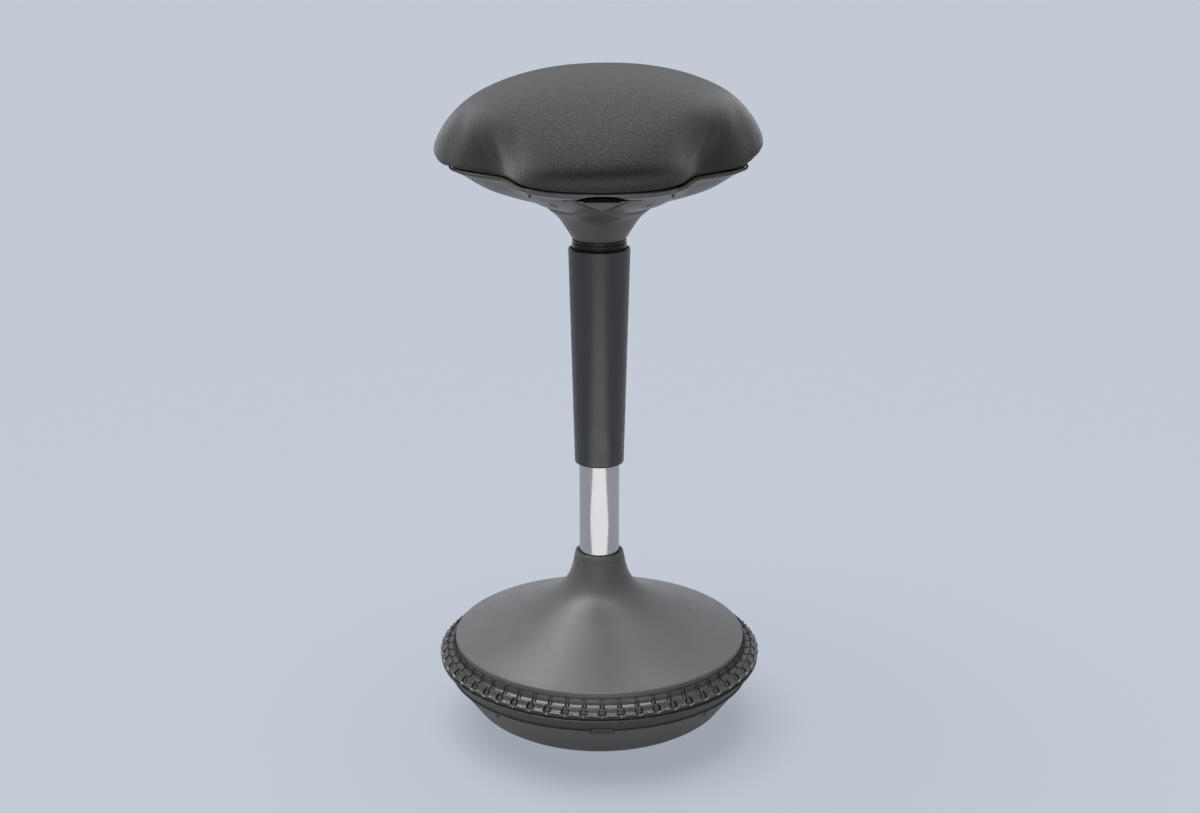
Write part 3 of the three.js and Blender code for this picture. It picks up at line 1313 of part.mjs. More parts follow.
function seatBoard() {
  const outline = lobedRing(PAN_OUTLINE, BOARD_SIDES, PAN_TIP_RADIUS, 1, 0, -BOARD_INSET);
  const board = prism(outline.map((point) => [point.x, point.y]), BOARD_THICKNESS);
  const relief = box(
    RELIEF_WIDTH,
    RELIEF_FRONT - RELIEF_REAR,
    RELIEF_DEPTH * 2,
    0,
    -(RELIEF_FRONT + RELIEF_REAR) / 2,
    BOARD_BOTTOM_HEIGHT,
  );
  const flangeRecess = PAN_TOP_HEIGHT - TEE_NUT_FLANGE_THICKNESS - SEAT_GAP * 2;
  const nutHoles = mountBoltPlaces.flatMap(([x, y]) => [
    rod(
      TEE_NUT_RADIUS + SEAT_GAP,
      BOARD_BOTTOM_HEIGHT - CUT_OVERRUN,
      PAN_TOP_HEIGHT + CUT_OVERRUN,
    ).translate(x, y, 0),
    rod(
      TEE_NUT_FLANGE_RADIUS + SEAT_GAP,
      flangeRecess,
      PAN_TOP_HEIGHT + CUT_OVERRUN,
    ).translate(x, y, 0),
  ]);
  const screwTop = BOARD_BOTTOM_HEIGHT + SHELL_SCREW_BITE + SEAT_GAP;
  const screwHoles = shellScrewPlaces().map(([x, y]) =>
    rod(SHELL_SCREW_RADIUS + SEAT_GAP, BOARD_BOTTOM_HEIGHT - CUT_OVERRUN, screwTop).translate(x, y, 0),
  );
  return cut(board.translate(0, 0, BOARD_BOTTOM_HEIGHT), relief, ...nutHoles, ...screwHoles);
}

function makeSeat() {
  piece('seat_cushion', cushion(), FINISH.fabric);
  piece('seat_shell', seatShell(), FINISH.shellPlastic);
  piece('seat_board', seatBoard(), FINISH.plywood);

  // The piping runs from one end of the front trim round the back to the other
  const weltHeight = CUSHION_BOTTOM_HEIGHT - SEAT_GAP - WELT_RADIUS;
  const weltStart = TRIM_HALF_ANGLE + TRIM_END_ANGLE;
  const weltSections = Array.from({ length: WELT_STEPS }, (_, step) => {
    const share = step / (WELT_STEPS - 1);
    const angle = THREE.MathUtils.lerp(weltStart, 2 * Math.PI - weltStart, share);
    const middle = WELT_RADIUS + SEAT_GAP + WELT_RELIEF;
    return Array.from({ length: WELT_SIDES }, (_unused, side) => {
      const round = turn(side, WELT_SIDES);
      const offset = middle + WELT_RADIUS * Math.cos(round);
      return panEdge(angle, weltHeight + WELT_RADIUS * Math.sin(round), offset);
    });
  });
  piece('cushion_welt', sweptSolid(weltSections, false), FINISH.piping);

  const trimRows = panRows().slice(-TRIM_ROWS);
  const trimSections = Array.from({ length: TRIM_STEPS + 1 }, (_, step) => {
    const angle = THREE.MathUtils.lerp(-TRIM_HALF_ANGLE, TRIM_HALF_ANGLE, step / TRIM_STEPS);
    const face = (offset) =>
      trimRows.map(([radius, height, lobing]) =>
        lobed(PAN_OUTLINE, angle, radius, lobing, height, offset),
      );
    return [...face(SEAT_GAP + TRIM_RELIEF + TRIM_THICKNESS), ...face(SEAT_GAP + TRIM_RELIEF).reverse()];
  });
  const trim = cut(sweptSolid(trimSections, false), recessPrism());
  piece('front_trim', trim, FINISH.shellPlastic);
  piece('finger_scoop', fingerScoop(), FINISH.shellPlastic);

  shellScrewPlaces().forEach(([x, y], index) => {
    const seatHeight = BOARD_BOTTOM_HEIGHT - SEAT_GAP - SHELL_SCREW_SEAT_DROP - SEAT_GAP;
    const screw = screwGeometry(
      SHELL_SCREW_RADIUS,
      SHELL_SCREW_HEAD_RADIUS,
      SHELL_SCREW_HEAD_HEIGHT,
      BOARD_BOTTOM_HEIGHT + SHELL_SCREW_BITE - seatHeight,
    );
    const mesh = piece(`shell_screw_${index + 1}`, screw, FINISH.steel);
    mesh.position.set(x, y, seatHeight);
  });
}

// Height release

const pivotHeight = CYLINDER_TOP_HEIGHT + BUTTON_PROUD + SEAT_GAP + LEVER_THICKNESS / 2;

const crossPin = (radius, left, right) =>
  rod(radius, left, right).rotateY(Math.PI / 2).translate(0, -PIVOT_FRONT, pivotHeight);

function makeMount() {
  const half = CHANNEL_WIDTH / 2;
  const floorTop = CHANNEL_FLOOR_HEIGHT + CHANNEL_METAL;
  const flangeBottom = CHANNEL_TOP_HEIGHT - CHANNEL_METAL;
  const right = [
    [half, CHANNEL_FLOOR_HEIGHT],
    [half, flangeBottom],
    [half + CHANNEL_FLANGE, flangeBottom],
    [half + CHANNEL_FLANGE, CHANNEL_TOP_HEIGHT],
    [half - CHANNEL_METAL, CHANNEL_TOP_HEIGHT],
    [half - CHANNEL_METAL, floorTop],
  ];
  const outline = [...right, ...right.map(([x, z]) => [-x, z]).reverse()];
  const channel = frontProfile(outline, -CHANNEL_LENGTH / 2, CHANNEL_LENGTH / 2);
  const hubHole = rod(
    HUB_SPIGOT_RADIUS + SEAT_GAP,
    CHANNEL_FLOOR_HEIGHT - CUT_OVERRUN,
    floorTop + CUT_OVERRUN,
    FITTED_SIDES,
  );
  const boltHoles = mountBoltPlaces.map(([x, y]) =>
    rod(
      MOUNT_BOLT_RADIUS + SEAT_GAP,
      flangeBottom - CUT_OVERRUN,
      CHANNEL_TOP_HEIGHT + CUT_OVERRUN,
    ).translate(x, y, 0),
  );
  const pinHole = crossPin(PIVOT_RADIUS + SEAT_GAP, -half - CUT_OVERRUN, half + CUT_OVERRUN);
  piece('mount_channel', cut(channel, hubHole, ...boltHoles, pinHole), FINISH.steel);

  const hubBottom = CHANNEL_FLOOR_HEIGHT - SEAT_GAP - HUB_DROP;
  const hubTop = floorTop + SMALL_CHAMFER;
  const bore = (height) => cylinderRadius(height) + SEAT_GAP;
  piece(
    'taper_hub',
    lathe(
      [
        [bore(hubBottom), hubBottom],
        [HUB_RADIUS, hubBottom],
        [HUB_RADIUS, CHANNEL_FLOOR_HEIGHT - SEAT_GAP],
        [HUB_SPIGOT_RADIUS, CHANNEL_FLOOR_HEIGHT - SEAT_GAP],
        [HUB_SPIGOT_RADIUS, hubTop],
        [bore(hubTop), hubTop],
        [bore(hubBottom), hubBottom],
      ],
      FITTED_SIDES,
    ),
    FINISH.steel,
  );

  mountBoltPlaces.forEach(([x, y], index) => {
    const bolt = screwGeometry(
      MOUNT_BOLT_RADIUS,
      MOUNT_BOLT_HEAD_RADIUS,
      MOUNT_BOLT_HEAD_HEIGHT,
      MOUNT_BOLT_LENGTH,
    );
    const boltMesh = piece(`mount_bolt_${index + 1}`, bolt, FINISH.steel);
    boltMesh.position.set(x, y, flangeBottom - SEAT_GAP);
    const nutTop = PAN_TOP_HEIGHT - SEAT_GAP;
    const flangeLow = nutTop - TEE_NUT_FLANGE_THICKNESS;
    const nutBore = MOUNT_BOLT_RADIUS + SEAT_GAP;
    const nut = lathe(
      [
        [nutBore, flangeLow - TEE_NUT_LENGTH],
        [TEE_NUT_RADIUS, flangeLow - TEE_NUT_LENGTH],
        [TEE_NUT_RADIUS, flangeLow],
        [TEE_NUT_FLANGE_RADIUS, flangeLow],
        [TEE_NUT_FLANGE_RADIUS, nutTop],
        [nutBore, nutTop],
        [nutBore, flangeLow - TEE_NUT_LENGTH],
      ],
      SMALL_SIDES,
    );
    piece(`tee_nut_${index + 1}`, nut.translate(x, y, 0), FINISH.steel);
  });
}

function makeRelease() {
  const centreLine = [
    [LEVER_REAR, pivotHeight],
    [-LEVER_BEND_FRONT, pivotHeight],
    [-LEVER_RISE_FRONT, PADDLE_HEIGHT],
    [-PADDLE_FRONT, PADDLE_HEIGHT],
  ];
  const half = LEVER_THICKNESS / 2;
  const upper = centreLine.map(([y, z]) => [y, z + half]);
  const lower = centreLine.map(([y, z]) => [y, z - half]);
  const arm = sideProfile([...upper, ...lower.reverse()], LEVER_WIDTH);
  const eye = crossPin(LEVER_EYE_RADIUS, -LEVER_WIDTH / 2, LEVER_WIDTH / 2);
  const paddle = box(
    PADDLE_WIDTH,
    PADDLE_DEPTH,
    LEVER_THICKNESS,
    0,
    -PADDLE_FRONT + PADDLE_DEPTH / 2,
    PADDLE_HEIGHT,
  );
  const eyeHole = crossPin(PIVOT_RADIUS + SEAT_GAP, -LEVER_WIDTH, LEVER_WIDTH);
  piece('release_lever', cut(join(arm, eye, paddle), eyeHole), FINISH.blackPlastic);

  const wall = CHANNEL_WIDTH / 2 + SEAT_GAP;
  const pin = join(
    crossPin(PIVOT_RADIUS, -wall - PIVOT_HEAD, wall + PIVOT_HEAD),
    crossPin(PIVOT_HEAD_RADIUS, -wall - PIVOT_HEAD, -wall),
    crossPin(PIVOT_HEAD_RADIUS, wall, wall + PIVOT_HEAD),
  );
  piece('lever_pin', pin, FINISH.steel);
}

makeBase();
makeTube();
makeRod();
makeCylinder();
makeSleeve();
makeSeat();
makeMount();
makeRelease();

export default stool;
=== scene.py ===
import math

import bmesh
import bpy
from bpy.props import FloatProperty, FloatVectorProperty, IntProperty, PointerProperty
from mathutils import Matrix, Vector


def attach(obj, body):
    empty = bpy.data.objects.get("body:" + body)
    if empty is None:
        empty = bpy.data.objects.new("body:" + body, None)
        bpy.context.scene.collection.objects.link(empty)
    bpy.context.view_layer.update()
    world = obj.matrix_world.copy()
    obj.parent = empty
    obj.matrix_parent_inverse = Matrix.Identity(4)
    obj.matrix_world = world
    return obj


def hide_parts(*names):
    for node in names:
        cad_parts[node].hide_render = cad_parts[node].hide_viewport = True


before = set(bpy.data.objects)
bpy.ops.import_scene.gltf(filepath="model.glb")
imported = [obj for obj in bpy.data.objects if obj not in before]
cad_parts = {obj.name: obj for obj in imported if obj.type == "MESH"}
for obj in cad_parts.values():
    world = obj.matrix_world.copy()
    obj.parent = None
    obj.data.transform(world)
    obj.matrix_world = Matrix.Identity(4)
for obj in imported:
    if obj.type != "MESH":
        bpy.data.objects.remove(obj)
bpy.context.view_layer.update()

bl_info = {
    "name": "Wobble stool",
    "version": (1, 0, 0),
    "blender": (4, 5, 0),
    "location": "View3D > Sidebar > Stool",
    "description": "Dresses a wobble stool with its knit pad, moulded plastics, rubber and chrome",
    "category": "Object",
}

# Lengths are millimetres in the frame of the CAD, +Z up and the front towards -Y, if no comment
# says otherwise. A row of an outline is its radius and height, and for a lobed piece its lobing
MM = 0.001

# Facets around a full turn
WIDE_SIDES = 192
COLUMN_SIDES = 96
SMALL_SIDES = 32
# Points nearer than this are one point, on a turned piece and between the ring's copies
SAME_POINT = 0.01
SAME_POINT_OF_RING = 0.05
# Edges sharper than these angles stay sharp in the shading
SMOOTH_ANGLE = math.radians(32)
SOFT_ANGLE = math.radians(50)
RING_SMOOTH_ANGLE = math.radians(55)
# Rounding of sharp edges: its size, and from how many degrees an edge counts as sharp
MOULDED_EDGE = (0.35, 40)
BAND_EDGE = (0.6, 40)
STEP_EDGE = (0.35, 30)
COLLAR_EDGE = (0.25, 50)
SKIRT_EDGE = (0.3, 30)
BOWL_EDGE = (0.4, 30)

# Outlines of the seat: radius at a lobe's tip, radius between the lobes, fullness of the lobes
PAD_OUTLINE = (223, 132, 0)
PAN_OUTLINE = (187, 130, 0.16)
LOBES = 3

# Pad
PAD_CROWN = 833
PAD_EDGE = 726
PAD_FLOOR = 711.2
PAD_CROWN_WIDTH_POWER = 0.89
PAD_CROWN_RISE_POWER = 1.32
PAD_CROWN_LOBING = 0.15
PAD_LOBING_FADE = 0.8
PAD_CROWN_ROWS = 26
# Underside of the pad: how far from the pan's rim to the pad's own edge, height, front lift
PAD_TUCK = [
    (0.03, 711.2, 0),
    (0.25, 711.3, 5.5),
    (0.5, 711.9, 9.5),
    (0.7, 713.6, 11.5),
    (0.86, 716.8, 12),
    (0.95, 720.6, 11.5),
]
PAD_FRONT_LIFT = 10
# How much of the front lobe's lift the rear lobes share
PAD_REAR_LIFT_SHARE = 0.3
PAD_LEAN = math.tan(math.radians(1.25))
PAD_PITCH = math.tan(math.radians(0.5))
PAD_SIDES = 120
PAD_VOXEL = 5
# How far the pad starts inside its outline, to have room to swell
PAD_INSET = 1
PAD_SWELL = 8
PAD_FRAMES = 20
PAD_CLOTH = {
    "quality": 5,
    "mass": 0.3,
    "tension_stiffness": 15,
    "compression_stiffness": 15,
    "bending_stiffness": 12,
    "shrink_min": 0.008,
    "use_pressure": True,
    "uniform_pressure_force": 8,
}
PAD_SHARE_ROUNDS = 16
PAD_SMOOTHING = 0.5
# Over what width outside the pan's rim, and height above the floor, the pad's rest fades out
REST_WIDTH = 14
REST_HEIGHT = 9
# Where the pad rests this much on its board, it sinks no deeper than this
REST_FULL = 0.99
REST_SINK = 0.1

# Pan
PAN_ROWS = [
    (31.8, 628.3, 0),
    (38.8, 639.7, 0),
    (49.8, 655.5, 0),
    (63.2, 665.1, 0.2),
    (72, 671, 0.6),
    (99.1, 674.4, 0.9),
    (142.5, 685.7, 1),
    (175, 702.5, 1),
    (184, 705.9, 1),
    (187, 710.9, 1),
]
PAN_STEPS = 5
# From the outer skin to the inner: how far in and how far up
PAN_WALL = (1.6, 2.6)
PAN_MOUTH = [(29, 628.3, 0), (30.4, 634, 0)]
PAN_RIM_INSIDE = (184, 710.9, 1)
PAN_SIDES = 180
SHELL_SCREW_TURN = math.radians(21)
SHELL_SCREW_CIRCLE = 146
# Well, head bore and shank hole of a shell screw: radius, length, height of the top
SHELL_WELL = (6.5, 24, 698.6)
SHELL_BORE = (4.3, 30, 695.2)
SHELL_HOLE = (2.3, 60, 720)

# Front band: how far it stands off the pan, its thickness, and the half angle that it spans
BAND_RISE = 1.3
BAND_THICKNESS = 2.2
BAND_ANGLE = math.radians(28.5)
BAND_ROWS = 9
BAND_COLUMNS = 72

# Piping: along the joint of pad and pan, hooked down at the band's two ends
PIPING_RADIUS = 1.5
PIPING_HEIGHT = 709.4
PIPING_CLEARANCE = 0.2
PIPING_STEPS = 260
PIPING_ROUNDNESS = 3
PIPING_MARGIN = math.radians(0.7)
# Turn beyond the band's end in degrees, radius at a lobe's tip, height
PIPING_HOOK = [(-1.3, 175.6, 700.4), (-0.2, 178.5, 701.8), (0.3, 182, 704.2), (0, 185.6, 707.6)]
PIPING_HOOK_STAND_OFF = 0.7

# Finger recess: right half of its outline, from the crown of its arch to its V-shaped foot
RECESS_FRONT = -200
RECESS_REAR = -134
RECESS_ARCH = [(0, 709), (8, 708.8), (15.5, 708), (21.5, 706.5), (26.3, 704.5), (29.5, 702.4)]
RECESS_FOOT = [(31.2, 700.8), (25, 697.9), (14.4, 691.1), (6, 686.9), (0, 685.5)]
# Slits beside it, each with a round eye at its end
SLIT_END = 41.5
SLIT_OVERLAP = 1
SLIT_HEIGHT = 701.2
SLIT_WIDTH = 1
SLIT_EYE = 1.3
SLIT_MIDDLE = -175
SLIT_DEPTH = 60

# Scoop under the recess
TRAY_COLUMNS = 40
TRAY_ROWS = 8
TRAY_WALL = 1.4
# Share of the rows on the scoop's face; its lip's height, how far it sinks in, and its rear end
TRAY_FACE = 0.625
TRAY_LIP = 698
TRAY_SUNK = 7
TRAY_REAR = -140.5
TRAY_REAR_CURVE = 12
TRAY_REAR_TAPER = 0.9
TRAY_REAR_STEP = 1
# How far the scoop's mouth lies above the recess's foot, and behind the pan's skin
TRAY_RAISED = 0.3
TRAY_BEHIND = 0.4
SKIN_ROUNDS = 4

# Stepped ring: its plug's radii and heights, its bore and deck
STEP_PLUG = (29.6, 31.8)
STEP_PLUG_HEIGHTS = (599.8, 617.2)
STEP_BORE = 14.3
STEP_DECK = 620.2
STEP_TOP = 628
# Its ridges and grooves in turn: radius, lower edge, upper edge
STEP_RIDGES = [
    (33.4, 617.9, 619.4),
    (31.6, 619.9, 621.6),
    (33.2, 622.2, 623.7),
    (31.4, 624.2, 625.9),
    (32.6, 626.4, STEP_TOP),
]

# Sleeve
SLEEVE_BOTTOM = 347.5
SLEEVE_TOP = 617.5
SLEEVE_BOTTOM_RADIUS = 30.4
SLEEVE_TOP_RADIUS = 37.4
SLEEVE_WALL = 2.4
SLEEVE_FOOT_ROUND = 2.4
SLEEVE_FOOT_STEPS = 6
SLEEVE_ROWS = (400, 480, 560, 616.4)
SLEEVE_BORE_ROW = 480
SLEEVE_HEAD_EASE = 0.9
SLEEVE_LEDGE = 5
SLEEVE_LEDGE_HEIGHTS = (596.5, 599.5)

# Tube of the gas spring
TUBE_RADIUS = 25
TUBE_BORE = 23
TUBE_BOTTOM = 40.3
TUBE_TOP = 470
TUBE_EASE = 0.8
TUBE_ROWS = (160, 260, 360)
TUBE_BORE_ROW = 255

# Collar where the tube enters the base, from its foot over two thin rims to its bore
COLLAR_ROWS = [
    (25.4, 217.3),
    (27.6, 217.3),
    (27.6, 223.2),
    (31.5, 223.2),
    (30.9, 225.6),
    (30.3, 228),
    (30, 229.6),
    (29.4, 230.1),
    (28.7, 229.6),
    (28.6, 228.4),
    (27.9, 228.4),
    (27.8, 230.2),
    (27.3, 230.8),
    (26.6, 230.4),
    (26.5, 226),
    (25.4, 226),
]

# Bell-shaped cover of the base: a straight cone with a flare at its neck
COVER_SLOPE = math.radians(20)
COVER_EDGE = (178.1, 122.035)
COVER_NECK = (31.5, 223)
COVER_FLARE_AXIS = 23
COVER_SIDE = [(185.8, 94.5), (184.2, 108), (183.6, 113)]
COVER_SHOULDER_ROUND = 2.6
COVER_SHOULDER_HEIGHT = 118.21
COVER_SHOULDER_STEPS = 8
COVER_CONE_RADIUS = 181.4
COVER_ROWS = 40
COVER_ROWS_POWER = 1.8
COVER_INNER_ROWS_STEP = 3
COVER_WALL = 3.2
COVER_BORE = 27.9
COVER_BORE_FOOT = 200
# The inner wall starts outside this radius
COVER_INNER_START = 30
COVER_INNER_SIDE = [(174.9, 118.8), (180.4, 113), (182.6, 94.5)]
SLOPE_SPAN = 0.1

# Rubber ring: its outside, from the inner lip over a groove, an upper bead and a lower one to
# its foot, and its back, from the foot up to the lip
RING_PATH = [
    (185.3, 113.9),
    (185.7, 112),
    (186.1, 109),
    (187, 106.3),
    (189.5, 104.6),
    (192.3, 104.6),
    (193.8, 105.6),
    (194.3, 106.7),
    (195, 107.3),
    (195.9, 107.2),
    (196.5, 106.5),
    (196.9, 105.5),
    (197.4, 104.6),
    (198.8, 102.8),
    (200.1, 101.4),
    (201, 101.1),
    (201.9, 100.7),
    (202.6, 100.1),
    (202.8, 99.3),
    (202.3, 98.6),
    (201.4, 98.2),
    (200.8, 97.2),
    (200.5, 95.8),
    (200.2, 94.5),
]
RING_BACK = [(187, 94.5), (186.8, 104), (184.9, 109), (184.8, 113.6)]
RING_STEP = 0.62
# Widths of the notches are measured along the ring at this radius
RING_PITCH_RADIUS = 200
# Keyhole notches: half width of the stem, radius of the bulb, where its middle lies on the section
NOTCHES = 57
NOTCH_STEM = 3.2
NOTCH_BULB = 5.3
NOTCH_PLACE = 24.4
NOTCH_GAP = 2.2
NOTCH_DEPTH = 4.2
# Between which lengths along the section the lower bead is left out inside a notch
BEAD_LENGTHS = (21.5, 31.2)
# Over what length a notch fades in at the inner lip, and how far it fades out over its bulb
NOTCH_FADE_IN = 6
NOTCH_FADE_OUT = 4
NOTCH_FADED = 0.8
# Raised rim round the bulb: rise, width, distance from the bulb, over what length it fades in
RIM_RISE = 1.1
RIM_WIDTH = 1.9
RIM_AWAY = 0.7
RIM_FADE_IN = 3
# Columns of half a pitch, from the joint with the next one to the notch's middle
NOTCH_COLUMNS = ("joint", "land", "rim", "edge", "wall", "root", "top", "crown", "middle")
INSIDE_COLUMNS = NOTCH_COLUMNS[4:]
# Places of the fixed columns, as shares of half a pitch
FIXED_COLUMNS = {"joint": 1, "land": 0.8, "middle": 0}
# Distances from the middle where the section has no notch
CLOSED_COLUMNS = {"rim": 1.6, "edge": 1.1, "wall": 0.8, "root": 0.6, "top": 0.4, "crown": 0.2}
# Shares of the notch's half width where it has no tongue
OPEN_COLUMNS = {"root": 0.5, "top": 0.3, "crown": 0.15}
RIM_COLUMN = 0.9
EDGE_COLUMN = 0.12
WALL_WIDTH = 0.35
ROOT_SHARE = 0.6
CROWN_SHARE = 0.55
TONGUE_CLEARANCE = 0.25
# How far the tongue lies below the skin at its top's edge, its crown and its middle
TONGUE_SUNK = {"top": 0.55, "crown": 0.2, "middle": 0.15}

# Chassis: socket, web and skirt with its lip
SKIRT_ROWS = [
    (19, 36),
    (30.4, 36),
    (30.4, 84),
    (174, 84),
    (185.9, 76),
    (190.3, 76),
    (194.4, 84),
    (197.8, 90.6),
    (201.2, 91),
    (202.5, 91.9),
    (202.6, 92.8),
    (201.8, 93.5),
    (198.6, 94.2),
    (174, 94.2),
    (174, 88),
    (30.4, 88),
    (30.4, 186),
    (25.3, 186),
    (25.3, 40),
    (19, 40),
]
RIBS = 6
RIB_OUTLINE = [(28, 85), (150, 85), (150, 122), (80, 145), (28, 145)]
RIB_THICKNESS = 3
# Tab at the seam in front: size, place, thickness, and the radius that it is wrapped round
TAB_SIZE = (27, 4.6, 9)
TAB_PLACE = (0, -189.4, 74.4)
TAB_THICKNESS = 4.2
TAB_WRAP_RADIUS = 190

# Rocking bowl: its straight wall rises from the knee to the seam
BOWL_KNEE = (161.5, 36)
BOWL_SEAM = (190.5, 75.5)
ROCKER_RADIUS = 430
ROCKER_START = (44, 1.6)
ROCKER_ROWS = (44.3, 60, 80, 100, 120, 138, 149)
BOWL_SOCKET_ROOF = 5.8
BOWL_KNEE_ROWS = [(153.6, 29.6), (157.2, 31.6), (160, 34.2)]
BOWL_WALL_HEIGHTS = (38, 55, 72.8)
BOWL_LIP = [(190, 73.4), (191.1, 74.1), (191.5, 74.9), (191, 75.5), (189.6, 75.6)]
BOWL_INSIDE = [(186.5, 75.5), (157.5, 38), (146, 31.4), (97, 14.4), (44.3, 9.8)]
BOWL_SLOT_SIZE = (28, 24, 13)
BOWL_SLOT_PLACE = (0, -190.5, 76)
BOWL_SCREWS = 4
BOWL_SCREW_TURN = math.radians(42.5)
BOWL_SCREW_HEIGHT = 69
# Radius and length
BOWL_WELL = (3.3, 5.2)
BOWL_HOLE = (2, 16)

FOOT_ROWS = [(43, 0), (44, 1), (44, 5.5)]

# Camera, as fitted to the picture of 1200 by 813; its place in metres
CAMERA_PLACE = (-0.0332, -1.9497, 0.996)
CAMERA_DOWN = math.radians(16.5)
CAMERA_TURN = math.radians(-1)
CAMERA_LENS = 49.5
CAMERA_SENSOR = 36

# Lamps: a soft key from above, left of the camera
KEY_STRENGTH = 2.9
KEY_SPREAD = math.radians(60)
KEY_FROM = (-0.15, 0.04, 1)
# Two panels: place, target and size in metres, power in watts. The low one is only mirrored
FRONT_PANEL = ((-0.3, -2.7, 1.3), (0, 0, 0.5), (1.6, 1.1), 3)
LOW_PANEL = ((-0.02, -1.27, 0.004), (-0.02, -1.27, 1), (1.24, 1.65), 5.3)
# Brightness of the world, and of the floor, for light that bounces
AMBIENT = 0.1
FLOOR_BOUNCE = 0.24
# Brightness of floor and backdrop in reflections, against how the camera sees them
MIRRORED = 0.7
# How much of the floor's own colour shows without light; its radius and its fade in metres
FLOOR_GLOW = 0.6
FLOOR_RADIUS = 3
FLOOR_FADE = (0.9, 2.8)

# Colours, as sRGB
CLOTH_COLOUR = "555453"
# The piping is the pad's jersey painted lighter: a painted highlight for the hem line that catches
# the light
PIPING_PAINTED_LIGHT_COLOUR = "7b7a78"
SHELL_COLOUR = "848382"
COVER_COLOUR = "757473"
BLACK_COLOUR = "1c1b1a"
RING_COLOUR = "4c4b4a"
BOWL_COLOUR = "8e8d8c"
FLOOR_COLOUR = "c3cad6"
SHEEN_COLOUR = (0.75, 0.77, 0.8, 1)

# Patterns: sizes and depths, and the span of a noise's values that carries its contrast
NOISE_SPAN = (0.35, 0.65)
TINT_SPAN = (0.3, 0.7)
HEATHER = 2.4
HEATHER_SPREAD = 0.3
# Loops of 0.8 mm would vanish in the picture, so they are drawn 1.7 mm wide
LOOP_WIDTH = 1.7
FUZZ = 4
CLOTH_DEPTH = 0.35
MOULDED_PATCH = 71.43
MOULDED_SPREAD = 0.04
MOULDED_ROUGH_PATCH = 16.667
MOULDED_ROUGH_SPAN = (-0.04, 0.05)
METAL_PATCH = 33.333
METAL_SPREAD = 0.03
METAL_ROUGH_PATCH = 8.3333
METAL_ROUGH_SPAN = (-0.02, 0.04)
# Fine rings left by the tool that turned the cover's mould. A wave repeats 20 times in 2 pi
TOOL_RING = 1.5
TOOL_RING_DEPTH = 0.05
WAVE_REPEAT = 2 * math.pi / 20
PLYWOOD_GRAIN = (16.667, 1.1111, 2)
PLYWOOD_DEPTH = 0.05


def numbered(name, count):
    """The names of solids that are numbered from 1"""
    return [f"{name}_{index + 1}" for index in range(count)]


# Solids that keep their own shape, by the finish that they get
KEPT = {
    "zinc_steel": [
        *numbered("ballast_bolt", 3),
        *numbered("cover_screw", 3),
        *numbered("shell_screw", 6),
        *numbered("mount_bolt", 4),
        *numbered("tee_nut", 4),
        "lever_pin",
        "mount_channel",
        "taper_hub",
        "tube_end_plate",
        "bearing_cage",
        "bearing_lower_race",
        "bearing_upper_race",
        "rod_clip",
    ],
    "hard_chrome": ["piston_rod"],
    "black_steel": ["gas_cylinder", *numbered("bowl_screw", BOWL_SCREWS)],
    "grey_iron": ["ballast_plate"],
    "acetal": ["guide_bushing", "sleeve_bushing", "piston_head", "valve_button"],
    "pad_rubber": ["bump_stop", "rod_seal"],
    "birch_plywood": ["seat_board"],
    # The release lever's near-black is painted shade, for the shadow it lies in inside the recess
    "lever_plastic_painted_shade": ["release_lever"],
}


def linear(code):
    """An sRGB hex colour as linear red, green and blue"""
    parts = [int(code[place : place + 2], 16) / 255 for place in (0, 2, 4)]
    return [part / 12.92 if part <= 0.04045 else ((part + 0.055) / 1.055) ** 2.4 for part in parts]


# Shapes


def around(angle, radius, height):
    """A point at an angle from the front, towards +X"""
    return Vector((radius * math.sin(angle), -radius * math.cos(angle), height)) * MM


def angle_of(point):
    """A point's angle from the front, towards +X"""
    return math.atan2(point.x, -point.y)


def reach(outline, angle, tip, lobing):
    """Radius of a row of a lobed piece at an angle"""
    outer, notch, fullness = outline
    swing = tip * lobing * (1 - notch / outer) / 2
    wave = LOBES * angle
    return tip - swing * (1 - math.cos(wave)) + swing * fullness * (1 - math.cos(2 * wave))


def rim_point(angle, tip, height, offset):
    """A point beside a lobed row of the pan, with its offset square to the row"""
    outer, notch, fullness = PAN_OUTLINE
    swing = tip * (1 - notch / outer) / 2
    wave = LOBES * angle
    radius = reach(PAN_OUTLINE, angle, tip, 1)
    change = swing * LOBES * (2 * fullness * math.sin(2 * wave) - math.sin(wave))
    length = math.hypot(radius, change)
    outward = Vector((math.sin(angle), -math.cos(angle), 0)) * radius / length
    along = Vector((math.cos(angle), math.sin(angle), 0)) * -change / length
    return around(angle, radius, height) + (outward + along) * offset * MM


def smooth_step(value):
    """A share from 0 to 1, eased at both ends"""
    value = min(1, max(0, value))
    return value * value * (3 - 2 * value)


def curve_value(before, start, end, after, share):
    """A value on the smooth curve through four, between the middle two"""
    straight = 2 * start + (end - before) * share
    bend = (2 * before - 5 * start + 4 * end - after) * share**2
    return (straight + bend + (3 * start - before - 3 * end + after) * share**3) / 2


def rounded_rows(rows, steps):
    """Rows with a smooth curve drawn through them"""
    held = [rows[0], *rows, rows[-1]]
    out = []
    for index in range(len(rows) - 1):
        nearby = list(zip(*held[index : index + 4]))
        for step in range(steps):
            out.append(tuple(curve_value(*values, step / steps) for values in nearby))
    return [*out, rows[-1]]


def deselect():
    """Leaves nothing selected, in object mode"""
    if bpy.context.object and bpy.context.object.mode != "OBJECT":
        bpy.ops.object.mode_set(mode="OBJECT")
    bpy.ops.object.select_all(action="DESELECT")


def pick(piece):
    """Makes a piece the only selected and active one"""
    deselect()
    piece.select_set(True)
    bpy.context.view_layer.objects.active = piece


def named(name):
    """Names the primitive just added and puts its place into its mesh"""
    piece = bpy.context.object
    piece.name = name
    piece.data.name = name
    bpy.ops.object.transform_apply(location=True, rotation=True, scale=True)
    return piece


